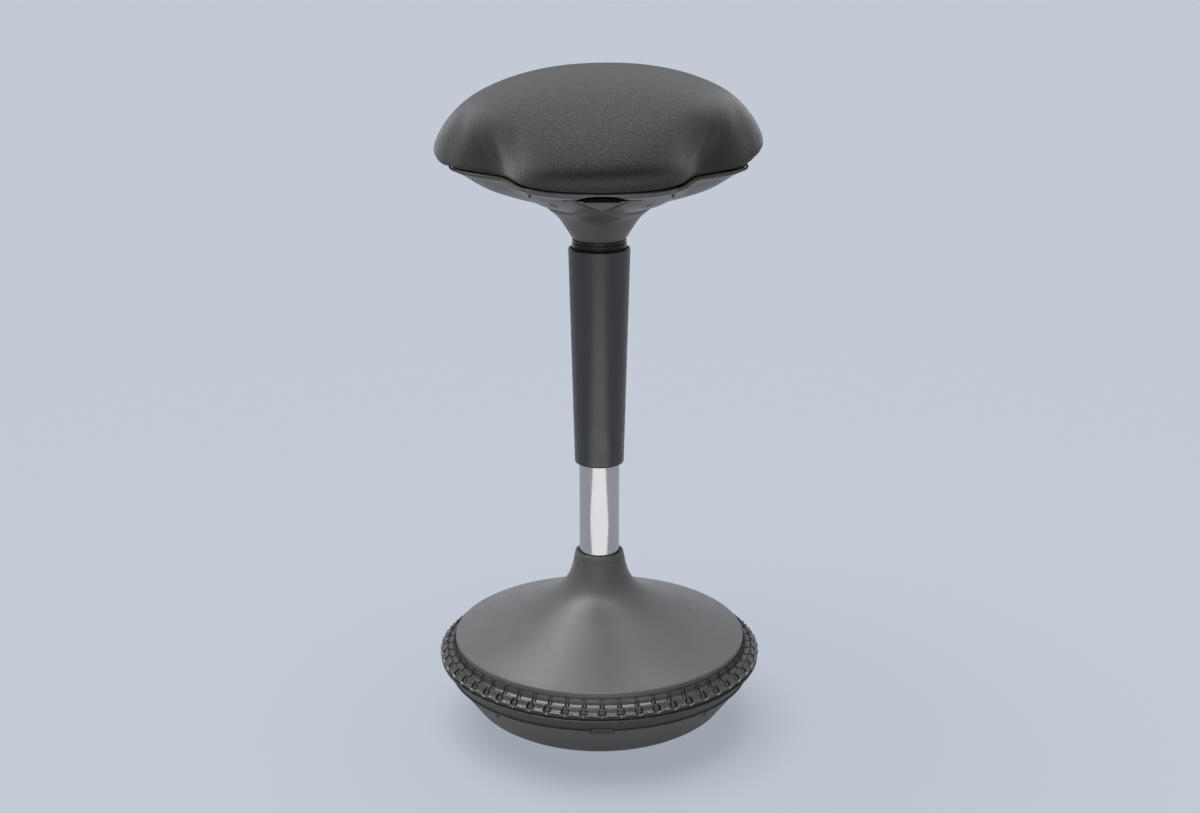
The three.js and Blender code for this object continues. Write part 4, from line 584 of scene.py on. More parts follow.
def worked(piece, kind, **settings):
    """Adds a modifier with its settings and applies it"""
    pick(piece)
    modifier = piece.modifiers.new(kind.title(), kind)
    for name, value in settings.items():
        setattr(modifier, name, value)
    bpy.ops.object.modifier_apply(modifier=modifier.name)


def shape_ring(piece, radius, height, lobing):
    """Moves the selected ring to its radius, height and lobes"""
    mesh = bmesh.from_edit_mesh(piece.data)
    for vert in mesh.verts:
        if vert.select:
            angle = angle_of(vert.co)
            vert.co = around(angle, reach(PAN_OUTLINE, angle, radius, lobing), height)
    bmesh.update_edit_mesh(piece.data)


def drawn(name, rows, sides, ends="meet"):
    """A circle extruded from row to row; its ends meet, or close with caps"""
    deselect()
    rows = [(*row, 0)[:3] for row in rows]
    if ends == "meet":
        rows.append(rows[0])
    radius, height, _ = rows[0]
    place = (0, 0, height * MM)
    bpy.ops.mesh.primitive_circle_add(vertices=sides, radius=radius * MM, location=place)
    piece = named(name)
    bpy.ops.object.mode_set(mode="EDIT")
    bpy.ops.mesh.select_all(action="SELECT")
    shape_ring(piece, *rows[0])
    for row in rows[1:]:
        rise = (0, 0, (row[1] - height) * MM)
        bpy.ops.mesh.extrude_region_move(TRANSFORM_OT_translate={"value": rise})
        height = row[1]
        shape_ring(piece, *row)
    if ends == "capped":
        cap_ring()
        mesh = bmesh.from_edit_mesh(piece.data)
        mesh.verts.ensure_lookup_table()
        for index, vert in enumerate(mesh.verts):
            vert.select_set(index < sides)
        mesh.select_flush(True)
        bmesh.update_edit_mesh(piece.data)
        cap_ring()
    bpy.ops.mesh.select_all(action="SELECT")
    bpy.ops.mesh.remove_doubles(threshold=SAME_POINT * MM)
    bpy.ops.mesh.normals_make_consistent(inside=False)
    bpy.ops.object.mode_set(mode="OBJECT")
    return piece


def cap_ring():
    """Closes the selected ring with a fan at its middle"""
    bpy.ops.mesh.extrude_region_move(TRANSFORM_OT_translate={"value": (0, 0, 0)})
    bpy.ops.mesh.merge(type="CENTER")


def strip(name, columns, rows):
    """A sheet of faces from -1 to 1 across and along, to be laid out point by point"""
    deselect()
    bpy.ops.mesh.primitive_grid_add(x_subdivisions=columns, y_subdivisions=rows, size=2)
    return named(name)


def smooth(piece, angle=SMOOTH_ANGLE):
    """Shades a piece smooth, apart from its sharp edges"""
    pick(piece)
    bpy.ops.object.shade_smooth_by_angle(angle=angle)


def eased(piece, edge, segments=2):
    """Rounds the sharp edges of a piece"""
    width, angle = edge
    sharp = {"limit_method": "ANGLE", "angle_limit": math.radians(angle)}
    worked(piece, "BEVEL", width=width * MM, segments=segments, **sharp)


def prism(name, outline, front, rear):
    """A flat outline in X and Z, extruded from front to rear along Y"""
    deselect()
    bpy.ops.mesh.primitive_circle_add(vertices=len(outline), radius=MM, fill_type="NGON")
    piece = named(name)
    for vert, (across, height) in zip(piece.data.vertices, outline):
        vert.co = Vector((across, front, height)) * MM
    bpy.ops.object.mode_set(mode="EDIT")
    bpy.ops.mesh.select_all(action="SELECT")
    push = (0, (rear - front) * MM, 0)
    bpy.ops.mesh.extrude_region_move(TRANSFORM_OT_translate={"value": push})
    bpy.ops.mesh.select_all(action="SELECT")
    bpy.ops.mesh.normals_make_consistent(inside=False)
    bpy.ops.object.mode_set(mode="OBJECT")
    return piece


def block(name, size, place):
    """A box of a size and at a place, for cutting or to be wrapped"""
    deselect()
    bpy.ops.mesh.primitive_cube_add(size=1, location=[value * MM for value in place])
    bpy.context.object.scale = [value * MM for value in size]
    return named(name)


def plug(name, radius, length, place, turn=(0, 0, 0)):
    """A round bar for cutting, along Z until it is turned"""
    deselect()
    bpy.ops.mesh.primitive_cylinder_add(
        vertices=SMALL_SIDES,
        radius=radius * MM,
        depth=length * MM,
        location=[value * MM for value in place],
        rotation=turn,
    )
    return named(name)


def cut(piece, *cutters, operation="DIFFERENCE"):
    """Takes the cutters out of a piece, or joins them to it, and removes them"""
    for cutter in cutters:
        worked(piece, "BOOLEAN", operation=operation, object=cutter, solver="EXACT")
        bpy.data.objects.remove(cutter, do_unlink=True)


def joined(piece, *others):
    """Makes other pieces part of one piece"""
    pick(piece)
    for other in others:
        other.select_set(True)
    bpy.ops.object.join()


def flip_outward(piece):
    """Turns the faces of an open strip away from the column"""
    pick(piece)
    bpy.ops.object.mode_set(mode="EDIT")
    bpy.ops.mesh.select_all(action="SELECT")
    mesh = bmesh.from_edit_mesh(piece.data)
    mesh.faces.ensure_lookup_table()
    face = mesh.faces[len(mesh.faces) // 2]
    middle = face.calc_center_median()
    if face.normal.dot(Vector((middle.x, middle.y, 0))) < 0:
        bpy.ops.mesh.flip_normals()
    bpy.ops.object.mode_set(mode="OBJECT")


def duplicate(piece, name):
    """A copy of a piece with its own mesh"""
    pick(piece)
    bpy.ops.object.duplicate()
    copy = bpy.context.object
    copy.name = name
    return copy


def placed(piece, body, slot, finish, *nodes):
    """Gives a piece its finish, its body and the solids that it stands for"""
    piece.data.materials.clear()
    piece.data.materials.append(FINISHES[finish])
    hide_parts(*nodes)
    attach(piece, body)


# Finishes

FINISHES = {}


def add(tree, kind, settings=None, sockets=None, links=None):
    """Adds a node with its settings, socket values and links"""
    node = tree.nodes.new("ShaderNode" + kind)
    for name, value in (settings or {}).items():
        setattr(node, name, value)
    for name, value in (sockets or {}).items():
        node.inputs[name].default_value = value
    for name, (source, output) in (links or {}).items():
        tree.links.new(source.outputs[output], node.inputs[name])
    return node


def surface(name, sockets):
    """A material with its main shader, and the coordinates of its object"""
    material = bpy.data.materials.new(name)
    material.use_nodes = True
    tree = material.node_tree
    tree.nodes.clear()
    shader = add(tree, "BsdfPrincipled", sockets=sockets)
    add(tree, "OutputMaterial", links={"Surface": (shader, "BSDF")})
    FINISHES[name] = material
    return tree, shader, add(tree, "TexCoord")


def tinted(tree, shader, pattern, dark, light):
    """Draws a pattern in two colours; gives back the ramp's ends"""
    ramp = add(tree, "ValToRGB", links={"Fac": (pattern, "Fac")})
    low, high = ramp.color_ramp.elements
    low.color = [*dark, 1]
    high.color = [*light, 1]
    tree.links.new(ramp.outputs["Color"], shader.inputs["Base Color"])
    return low, high


def varied(tree, shader, place, colour, spread, patch, detail=3):
    """Lets a colour wander a little lighter and darker over patches of a size"""
    sockets = {"Scale": 1 / (patch * MM), "Detail": detail}
    noise = add(tree, "TexNoise", sockets=sockets, links={"Vector": (place, "Object")})
    dark = [part * (1 - spread) for part in colour]
    light = [part * (1 + spread) for part in colour]
    low, high = tinted(tree, shader, noise, dark, light)
    low.position, high.position = TINT_SPAN


def bumped(tree, shader, height, output, depth):
    """Raises the surface by a pattern, over what raises it already"""
    sockets = {"Distance": depth * MM}
    bump = add(tree, "Bump", sockets=sockets, links={"Height": (height, output)})
    shader_normal = shader.inputs["Normal"]
    if shader_normal.is_linked:
        tree.links.new(shader_normal.links[0].from_socket, bump.inputs["Normal"])
    tree.links.new(bump.outputs["Normal"], shader_normal)


def roughened(tree, shader, place, rough, span, patch):
    """Lets the roughness wander over patches of a size"""
    sockets = {"Scale": 1 / (patch * MM), "Detail": 4}
    noise = add(tree, "TexNoise", sockets=sockets, links={"Vector": (place, "Object")})
    ends = {
        "From Min": NOISE_SPAN[0],
        "From Max": NOISE_SPAN[1],
        "To Min": rough + span[0],
        "To Max": rough + span[1],
    }
    spread = add(tree, "MapRange", sockets=ends, links={"Value": (noise, "Fac")})
    tree.links.new(spread.outputs["Result"], shader.inputs["Roughness"])


def knit_finish(name, colour, sheen):
    """Polyester jersey, knitted and brushed: matt, heathered, with a soft pale rim of fibre"""
    fibre = {"Roughness": 0.92, "Specular IOR Level": 0.2}
    fuzz = {"Sheen Weight": sheen, "Sheen Roughness": 0.45, "Sheen Tint": SHEEN_COLOUR}
    tree, shader, place = surface(name, {**fibre, **fuzz})
    here = {"Vector": (place, "Object")}
    pattern = {"Scale": 1 / (LOOP_WIDTH * MM), "Smoothness": 0.6}
    loops = add(tree, "TexVoronoi", {"feature": "SMOOTH_F1"}, pattern, here)
    varied(tree, shader, place, colour, HEATHER_SPREAD, HEATHER, 2)
    bumped(tree, shader, loops, "Distance", CLOTH_DEPTH)
    pile = add(tree, "TexNoise", sockets={"Scale": 1 / (FUZZ * MM), "Detail": 4}, links=here)
    bumped(tree, shader, pile, "Fac", CLOTH_DEPTH)


def moulded_finish(name, colour, rough, grain, depth=0.05, level=0.5):
    """Injection-moulded plastic or rubber with a spark-eroded grain: an even satin skin"""
    tree, shader, place = surface(name, {"Roughness": rough, "Specular IOR Level": level})
    varied(tree, shader, place, colour, MOULDED_SPREAD, MOULDED_PATCH)
    roughened(tree, shader, place, rough, MOULDED_ROUGH_SPAN, MOULDED_ROUGH_PATCH)
    sockets = {"Scale": 1 / (grain * MM), "Detail": 3}
    skin = add(tree, "TexNoise", sockets=sockets, links={"Vector": (place, "Object")})
    bumped(tree, shader, skin, "Fac", depth)
    return tree, shader, place


def metal_finish(name, colour, rough):
    """Plated or rolled metal: a clean reflection, broken by a faint drawn grain"""
    tree, shader, place = surface(name, {"Metallic": 1, "Roughness": rough})
    varied(tree, shader, place, colour, METAL_SPREAD, METAL_PATCH)
    roughened(tree, shader, place, rough, METAL_ROUGH_SPAN, METAL_ROUGH_PATCH)


def turned_cover_finish(colour):
    """Moulded polypropylene from a turned mould: satin, with the fine rings of the tool"""
    tree, shader, place = moulded_finish("moulded_cover", colour, rough=0.34, grain=0.9, level=0.7)
    rings = add(
        tree,
        "TexWave",
        {"wave_type": "RINGS", "rings_direction": "Z"},
        {"Scale": WAVE_REPEAT / (TOOL_RING * MM), "Distortion": 0.6, "Detail": 2, "Detail Scale": 3},
        {"Vector": (place, "Object")},
    )
    bumped(tree, shader, rings, "Fac", TOOL_RING_DEPTH)


def plywood_finish():
    """Rotary-cut birch plywood, left raw: pale veneer with long faint grain"""
    tree, shader, place = surface("birch_plywood", {"Roughness": 0.6})
    scale = {"Scale": [1 / (size * MM) for size in PLYWOOD_GRAIN]}
    stretch = add(tree, "Mapping", sockets=scale, links={"Vector": (place, "Object")})
    sockets = {"Scale": 1, "Detail": 5}
    grain = add(tree, "TexNoise", sockets=sockets, links={"Vector": (stretch, "Vector")})
    tinted(tree, shader, grain, linear("8f6a41"), linear("c49f6e"))
    bumped(tree, shader, grain, "Fac", PLYWOOD_DEPTH)


def make_finishes(colours):
    """All the finishes of the stool, from the colours in the panel"""
    knit_finish("charcoal_jersey", colours.cloth, sheen=0.9)
    # The piping's lighter colour is painted highlight: the same jersey, made lighter for its lit hem
    # line
    knit_finish("jersey_piping_painted_light", colours.piping, sheen=0.3)
    moulded_finish("moulded_pan", colours.shell, rough=0.33, grain=0.9, level=0.7)
    # The tray is the pan's plastic painted lighter: a painted highlight for the light that its scoop
    # catches
    moulded_finish("tray_plastic_painted_light", linear("b0afad"), rough=0.35, grain=0.9)
    turned_cover_finish(colours.cover)
    moulded_finish("gloss_black", linear("0b0b0c"), rough=0.2, grain=0.8, depth=0.01)
    # Near-black painted shade: the lever is darkened to stand in for the shadow inside the recess
    moulded_finish("lever_plastic_painted_shade", linear("070708"), rough=0.5, grain=0.8, depth=0.03, level=0.1)
    moulded_finish("sleeve_plastic", colours.black, rough=0.3, grain=0.8, depth=0.03, level=1)
    moulded_finish("ring_rubber", colours.ring, rough=0.24, grain=0.7, depth=0.02, level=0.95)
    moulded_finish("skirt_plastic", linear("666564"), rough=0.42, grain=0.9, depth=0.04)
    moulded_finish("bowl_rubber", colours.bowl, rough=0.5, grain=0.9)
    moulded_finish("pad_rubber", linear("2e2f30"), rough=0.7, grain=1.2, depth=0.12)
    metal_finish("hard_chrome", linear("c4c3c1"), rough=0.1)
    metal_finish("zinc_steel", linear("b4b6b8"), rough=0.32)
    moulded_finish("black_steel", linear("26272a"), rough=0.35, grain=0.8, depth=0.02)
    moulded_finish("grey_iron", linear("3a3b3d"), rough=0.62, grain=2.2, depth=0.3)
    moulded_finish("acetal", linear("dfded8"), rough=0.35, grain=0.8, depth=0.01)
    plywood_finish()


def dress_solids():
    """Gives each solid that keeps its shape a real finish"""
    for finish, names in KEPT.items():
        for name in names:
            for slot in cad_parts[name].material_slots:
                slot.material = FINISHES[finish]


# Sizes and colours that a user would change


def length_property(name, description, size, least):
    """A length with its default and its least value"""
    lengths = {"default": size * MM, "min": least * MM}
    return FloatProperty(name=name, description=description, unit="LENGTH", **lengths)


def colour_property(name, description, code):
    """A colour swatch with its default"""
    swatch = {"default": linear(code), "subtype": "COLOR", "size": 3, "min": 0, "max": 1}
    return FloatVectorProperty(name=name, description=description, **swatch)


class StoolSizes(bpy.types.PropertyGroup):
    """Sizes of the stool's dressing"""

    swell: length_property("Pad swell", "How far the foam may push its cover out", PAD_SWELL, 0)
    piping: length_property(
        "Piping radius", "Radius of the piping under the pad", PIPING_RADIUS, 0.5
    )
    gap: length_property(
        "Notch gap", "Width of the gap round the tongue of each notch", NOTCH_GAP, 0.5
    )
    depth: length_property(
        "Notch depth", "Depth of the gap round the tongue of each notch", NOTCH_DEPTH, 0.5
    )
    notches: IntProperty(
        name="Notches",
        description="Number of notches in the rubber ring",
        default=NOTCHES,
        min=12,
    )


class StoolColours(bpy.types.PropertyGroup):
    """Colours of the stool and its floor"""

    cloth: colour_property("Cloth", "Knit cover of the pad", CLOTH_COLOUR)
    # Its default is painted highlight: the pad's jersey made lighter for the lit hem line
    piping: colour_property("Piping", "Piping under the pad", PIPING_PAINTED_LIGHT_COLOUR)
    shell: colour_property("Pan", "Moulded pan under the seat", SHELL_COLOUR)
    cover: colour_property("Base cover", "Moulded bell of the base", COVER_COLOUR)
    black: colour_property("Sleeve", "Moulded sleeve of the column", BLACK_COLOUR)
    ring: colour_property("Ring rubber", "Notched ring of the base", RING_COLOUR)
    bowl: colour_property("Bowl rubber", "Rocking bowl of the base", BOWL_COLOUR)
    floor: colour_property("Floor", "Floor and background", FLOOR_COLOUR)


# Seat


def pad_point(angle, row, inset):
    """A point of the pad: on its underside, or on its crown"""
    nose = max(0, math.cos(angle * LOBES / 2))
    if abs(angle) >= math.pi / LOBES:
        rear = (abs(angle) - 2 * math.pi / LOBES) * LOBES / 2
        nose = PAD_REAR_LIFT_SHARE * max(0, math.cos(rear))
    edge = reach(PAD_OUTLINE, angle, PAD_OUTLINE[0], 1) - inset
    if row < len(PAD_TUCK):
        share, height, lift = PAD_TUCK[row]
        rim = reach(PAN_OUTLINE, angle, PAN_OUTLINE[0], 1)
        return around(angle, rim + (edge - rim) * share, height + lift * nose)
    turn = (row - len(PAD_TUCK)) / PAD_CROWN_ROWS * math.pi / 2
    wide = math.cos(turn) ** PAD_CROWN_WIDTH_POWER
    high = math.sin(turn) ** PAD_CROWN_RISE_POWER
    lobing = 1 + (PAD_CROWN_LOBING - 1) * smooth_step(high / PAD_LOBING_FADE)
    radius = reach(PAD_OUTLINE, angle, (PAD_OUTLINE[0] - inset) * wide, lobing)
    rise = (PAD_CROWN - inset - PAD_EDGE) * high
    return around(angle, radius, PAD_EDGE + rise + PAD_FRONT_LIFT * nose * (1 - high) ** 2)


def rests(place):
    """1 where the pad lies on its board and pan, falling to 0 above and outside them"""
    edge = reach(PAN_OUTLINE, angle_of(place), PAN_OUTLINE[0], 1) * MM
    over = max(0, (math.hypot(place.x, place.y) - edge) / (REST_WIDTH * MM))
    high = max(0, (place.z - PAD_FLOOR * MM) / (REST_HEIGHT * MM))
    return max(0, 1 - math.hypot(over, high))


def shared_moves(mesh, moves):
    """Spreads each point's move over its neighbours, as stiff foam does, so no crease is left"""
    for _ in range(PAD_SHARE_ROUNDS):
        sums = [move.copy() for move in moves]
        counts = [1] * len(moves)
        for edge in mesh.edges:
            first, second = edge.vertices
            sums[first] += moves[second]
            sums[second] += moves[first]
            counts[first] += 1
            counts[second] += 1
        moves = [total / count for total, count in zip(sums, counts)]
    return moves


def swollen(pad, cap):
    """Blows the pad up under its cover and keeps each point within a cap of its start"""
    start = [vert.co.copy() for vert in pad.data.vertices]
    held = pad.vertex_groups.new(name="held")
    for vert in pad.data.vertices:
        weight = rests(vert.co)
        if weight > 0:
            held.add([vert.index], min(1, weight * 2), "REPLACE")
    pick(pad)
    cloth = pad.modifiers.new("Cloth", "CLOTH")
    for name, value in PAD_CLOTH.items():
        setattr(cloth.settings, name, value)
    cloth.settings.effector_weights.gravity = 0
    cloth.settings.vertex_group_mass = held.name
    cloth.point_cache.frame_start = 1
    cloth.point_cache.frame_end = PAD_FRAMES
    for step in range(1, PAD_FRAMES + 1):
        bpy.context.scene.frame_set(step)
    bpy.ops.object.modifier_apply(modifier=cloth.name)
    bpy.context.scene.frame_set(1)
    moves = [vert.co - before for vert, before in zip(pad.data.vertices, start)]
    for vert, before, move in zip(pad.data.vertices, start, shared_moves(pad.data, moves)):
        if move.length > cap:
            move *= cap / move.length
        vert.co = before + move
    pad.vertex_groups.clear()


def seat_pad(sizes):
    """The three-lobed pad: remeshed, blown up, leaned as the real one sits"""
    inset = PAD_INSET
    rows = len(PAD_TUCK) + PAD_CROWN_ROWS
    blank = [(1 + row, PAD_FLOOR + row) for row in range(rows)]
    pad = drawn("seat_pad", blank, PAD_SIDES, ends="capped")
    for vert in pad.data.vertices:
        row = round(vert.co.z / MM - PAD_FLOOR)
        if math.hypot(vert.co.x, vert.co.y) > MM / 2:
            vert.co = pad_point(angle_of(vert.co), row, inset)
        elif row == rows - 1:
            vert.co.z = (PAD_CROWN - inset) * MM
    worked(pad, "REMESH", mode="VOXEL", voxel_size=PAD_VOXEL * MM, adaptivity=0)
    worked(pad, "SMOOTH", factor=PAD_SMOOTHING, iterations=2)
    swollen(pad, sizes.swell)
    worked(pad, "SMOOTH", factor=PAD_SMOOTHING, iterations=3)
    worked(pad, "SUBSURF", levels=1, render_levels=1)
    for vert in pad.data.vertices:
        place = vert.co
        free = 1 - rests(place)
        place.z += free * (PAD_LEAN * place.x - PAD_PITCH * place.y)
        if rests(Vector((place.x, place.y, PAD_FLOOR * MM))) > REST_FULL:
            place.z = max(place.z, (PAD_FLOOR - REST_SINK) * MM)
    smooth(pad, math.pi)
    placed(pad, "seat", "seat_fabric", "charcoal_jersey", "seat_cushion")


def piping_path(radius):
    """Points along the rim, from one end of the band round the back to the other"""
    offset = radius + PIPING_CLEARANCE
    path = []
    for turn, tip, height in PIPING_HOOK:
        angle = BAND_ANGLE - math.radians(turn)
        path.append(rim_point(angle, tip, height, offset * PIPING_HOOK_STAND_OFF))
    start = BAND_ANGLE + PIPING_MARGIN
    for index in range(PIPING_STEPS + 1):
        angle = start + (2 * math.pi - 2 * start) * index / PIPING_STEPS
        path.append(rim_point(angle, PAN_OUTLINE[0], PIPING_HEIGHT, offset))
    hook = reversed(path[: len(PIPING_HOOK)])
    return [*path, *[Vector((-point.x, point.y, point.z)) for point in hook]]


def cord_along(name, path, radius, roundness):
    """A round cord along points: a line of edges turned into a curve, then into a mesh"""
    deselect()
    bpy.ops.mesh.primitive_circle_add(vertices=len(path), radius=MM)
    piece = named(name)
    mesh = bmesh.new()
    mesh.from_mesh(piece.data)
    mesh.verts.ensure_lookup_table()
    for vert, point in zip(mesh.verts, path):
        vert.co = point
    mesh.edges.remove(mesh.edges.get((mesh.verts[0], mesh.verts[-1])))
    mesh.to_mesh(piece.data)
    mesh.free()
    pick(piece)
    bpy.ops.object.convert(target="CURVE")
    piece.data.bevel_depth = radius
    piece.data.bevel_resolution = roundness
    piece.data.use_fill_caps = True
    bpy.ops.object.convert(target="MESH")
    return bpy.context.object


def seat_piping(sizes):
    """The piping that closes the joint of pad and pan"""
    path = piping_path(sizes.piping / MM)
    piping = cord_along("pad_piping", path, sizes.piping, PIPING_ROUNDNESS)
    smooth(piping, math.pi)
    # The piping's finish is the pad's jersey painted lighter, a painted highlight for the lit hem
    placed(piping, "seat", "welt_fabric", "jersey_piping_painted_light", "cushion_welt")


def recess_prism():
    """Cutter for the finger recess, through the front of the seat"""
    right = [*RECESS_ARCH, *RECESS_FOOT]
    outline = [*right, *[(-across, height) for across, height in reversed(right[1:-1])]]
    return prism("recess", outline, RECESS_FRONT, RECESS_REAR)


def upright_plug(name, size, place):
    """A round cutter along Z, from its radius, length and top"""
    radius, length, top = size
    return plug(name, radius, length, (place.x / MM, place.y / MM, top - length / 2))


def seat_pan():
    """The moulded pan: a funnel that opens into three lobes, with its recess and screw wells"""
    rows = rounded_rows(PAN_ROWS[:-2], PAN_STEPS) + PAN_ROWS[-2:]
    inward, upward = PAN_WALL
    inner = [(tip - inward, height + upward, lobing) for tip, height, lobing in rows[1:-2]]
    inner = [*PAN_MOUTH, *inner, PAN_RIM_INSIDE]
    pan = drawn("seat_pan", [*rows, *reversed(inner)], PAN_SIDES)
    wells, bores = [], []
    for lobe in range(LOBES):
        for side in (-1, 1):
            angle = lobe * 2 * math.pi / LOBES + side * SHELL_SCREW_TURN
            place = around(angle, SHELL_SCREW_CIRCLE, 0)
            wells.append(upright_plug("well", SHELL_WELL, place))
            bores.append(upright_plug("bore", SHELL_BORE, place))
            bores.append(upright_plug("hole", SHELL_HOLE, place))
    within = drawn("within", rows, PAN_SIDES, ends="capped")
    for well in wells:
        cut(well, duplicate(within, "within_well"), operation="INTERSECT")
        cut(pan, well, operation="UNION")
    bpy.data.objects.remove(within, do_unlink=True)
    cut(pan, *bores, recess_prism())
    length = SLIT_END - RECESS_ARCH[-1][0]
    for side in (-1, 1):
        middle = (side * (SLIT_END - length / 2), SLIT_MIDDLE, SLIT_HEIGHT)
        end = (side * SLIT_END, SLIT_MIDDLE, SLIT_HEIGHT)
        slit = block("slit", (length + SLIT_OVERLAP, SLIT_DEPTH, SLIT_WIDTH), middle)
        cut(pan, slit, plug("slit_end", SLIT_EYE, SLIT_DEPTH, end, (math.pi / 2, 0, 0)))
    eased(pan, MOULDED_EDGE)
    smooth(pan)
    placed(pan, "seat", "shell_plastic", "moulded_pan", "seat_shell")


def band_row(share):
    """Radius at the tip and height of the band's face, from its foot to its top"""
    face = PAN_ROWS[-3:]
    place = share * (len(face) - 1)
    index = min(int(place), len(face) - 2)
    mix = place - index
    tip, height, _ = (a + (b - a) * mix for a, b in zip(face[index], face[index + 1]))
    return tip, height


def front_band():
    """The separate rim band of the front lobe, between its two step joints"""
    band = strip("front_band", BAND_COLUMNS, BAND_ROWS)
    for vert in band.data.vertices:
        tip, height = band_row((vert.co.y + 1) / 2)
        vert.co = rim_point(vert.co.x * BAND_ANGLE, tip, height, BAND_RISE + BAND_THICKNESS)
    flip_outward(band)
    worked(band, "SOLIDIFY", thickness=BAND_THICKNESS * MM, offset=-1)
    cut(band, recess_prism())
    eased(band, BAND_EDGE, 3)
    smooth(band)
    placed(band, "seat", "shell_plastic", "moulded_pan", "front_trim")


def skin_depth(across, height):
    """How far forward the pan's outer skin lies, at a place seen from the front"""
    below = sum(row[1] <= height for row in PAN_ROWS)
    low, high = PAN_ROWS[below - 1], PAN_ROWS[below]
    mix = (height - low[1]) / (high[1] - low[1])
    tip = low[0] + (high[0] - low[0]) * mix
    radius = tip
    for _ in range(SKIN_ROUNDS):
        radius = reach(PAN_OUTLINE, math.asin(across / radius), tip, low[2])
    return -math.sqrt(radius**2 - across**2)


def foot_height(across):
    """Height of the recess's V-shaped foot, across from its middle"""
    foot = sorted(RECESS_FOOT)
    for (near, low), (far, high) in zip(foot, foot[1:]):
        if across <= far:
            return low + (high - low) * (across - near) / (far - near)
    return foot[-1][1]


def finger_tray():
    """The scoop under the recess: its mouth lies on the pan, its back stands inside"""
    tray = strip("finger_tray", TRAY_COLUMNS, TRAY_ROWS)
    width, corner = RECESS_FOOT[0]
    for vert in tray.data.vertices:
        side, share = vert.co.x, (vert.co.y + 1) / 2
        across = side * width
        low = foot_height(abs(across)) + TRAY_RAISED
        high = TRAY_LIP + (corner - TRAY_LIP) * side**2
        mouth = Vector((across, skin_depth(across, low) + TRAY_BEHIND, low))
        sunk = TRAY_BEHIND + TRAY_SUNK * (1 - side**2)
        lip = Vector((across, skin_depth(across, high) + sunk, high))
        back = max(lip.y + TRAY_REAR_STEP, TRAY_REAR - TRAY_REAR_CURVE * side**2)
        rear = Vector((across * TRAY_REAR_TAPER, back, high - TRAY_REAR_STEP))
        if share <= TRAY_FACE:
            vert.co = mouth.lerp(lip, share / TRAY_FACE) * MM
        else:
            vert.co = lip.lerp(rear, (share - TRAY_FACE) / (1 - TRAY_FACE)) * MM
    worked(tray, "SOLIDIFY", thickness=TRAY_WALL * MM, offset=-1)
    eased(tray, MOULDED_EDGE)
    smooth(tray, SOFT_ANGLE)
    # The tray's finish is the pan's plastic painted lighter, a painted highlight for its lit scoop
    placed(tray, "seat", "shell_plastic", "tray_plastic_painted_light", "finger_scoop")


# Column


def step_ring():
    """The stepped ring on top of the sleeve, with its plug inside the sleeve"""
    inner, outer = STEP_PLUG
    foot, shoulder = STEP_PLUG_HEIGHTS
    rows = [(inner, foot), (outer, foot), (outer, shoulder)]
    for radius, low, high in STEP_RIDGES:
        rows += [(radius, low), (radius, high)]
    rows += [(STEP_BORE, STEP_TOP), (STEP_BORE, STEP_DECK), (inner, STEP_DECK)]
    ring = drawn("step_ring", rows, COLUMN_SIDES)
    eased(ring, STEP_EDGE)
    smooth(ring)
    placed(ring, "seat", "black_plastic", "gloss_black", "sleeve_collar")


def sleeve_radius(height):
    """Outer radius of the tapered sleeve"""
    share = (height - SLEEVE_BOTTOM) / (SLEEVE_TOP - SLEEVE_BOTTOM)
    return SLEEVE_BOTTOM_RADIUS + share * (SLEEVE_TOP_RADIUS - SLEEVE_BOTTOM_RADIUS)


def sleeve_bore(height, ledge=0):
    """A row of the sleeve's inside, or of the ledge there"""
    return sleeve_radius(height) - SLEEVE_WALL - ledge, height


def cover_sleeve():
    """The tapered sleeve, with a rolled foot and a ledge inside its head"""
    rows = [(SLEEVE_BOTTOM_RADIUS - SLEEVE_FOOT_ROUND, SLEEVE_BOTTOM)]
    foot_radius = sleeve_radius(SLEEVE_BOTTOM + SLEEVE_FOOT_ROUND)
    for step in range(1, SLEEVE_FOOT_STEPS + 1):
        angle = step / SLEEVE_FOOT_STEPS * math.pi / 2
        radius = foot_radius - SLEEVE_FOOT_ROUND * (1 - math.sin(angle))
        rows.append((radius, SLEEVE_BOTTOM + SLEEVE_FOOT_ROUND * (1 - math.cos(angle))))
    rows += [(sleeve_radius(height), height) for height in SLEEVE_ROWS]
    foot, deck = SLEEVE_LEDGE_HEIGHTS
    rows += [
        (SLEEVE_TOP_RADIUS - SLEEVE_HEAD_EASE, SLEEVE_TOP),
        sleeve_bore(SLEEVE_TOP),
        sleeve_bore(deck),
        sleeve_bore(deck, SLEEVE_LEDGE),
        sleeve_bore(foot, SLEEVE_LEDGE),
        sleeve_bore(foot),
        sleeve_bore(SLEEVE_BORE_ROW),
        sleeve_bore(SLEEVE_BOTTOM),
    ]
    sleeve = drawn("cover_sleeve_moulding", rows, COLUMN_SIDES)
    smooth(sleeve)
    placed(sleeve, "seat", "black_plastic", "sleeve_plastic", "cover_sleeve")


def chrome_tube():
    """The bright outer tube of the gas spring"""
    rows = [
        (TUBE_BORE, TUBE_BOTTOM),
        (TUBE_RADIUS - TUBE_EASE, TUBE_BOTTOM),
        (TUBE_RADIUS, TUBE_BOTTOM + TUBE_EASE),
        *[(TUBE_RADIUS, height) for height in TUBE_ROWS],
        (TUBE_RADIUS, TUBE_TOP - TUBE_EASE),
        (TUBE_RADIUS - TUBE_EASE, TUBE_TOP),
        (TUBE_BORE, TUBE_TOP),
        (TUBE_BORE, TUBE_BORE_ROW),
    ]
    tube = drawn("chrome_tube", rows, COLUMN_SIDES)
    smooth(tube)
    placed(tube, "base", "chrome", "hard_chrome", "guide_tube")


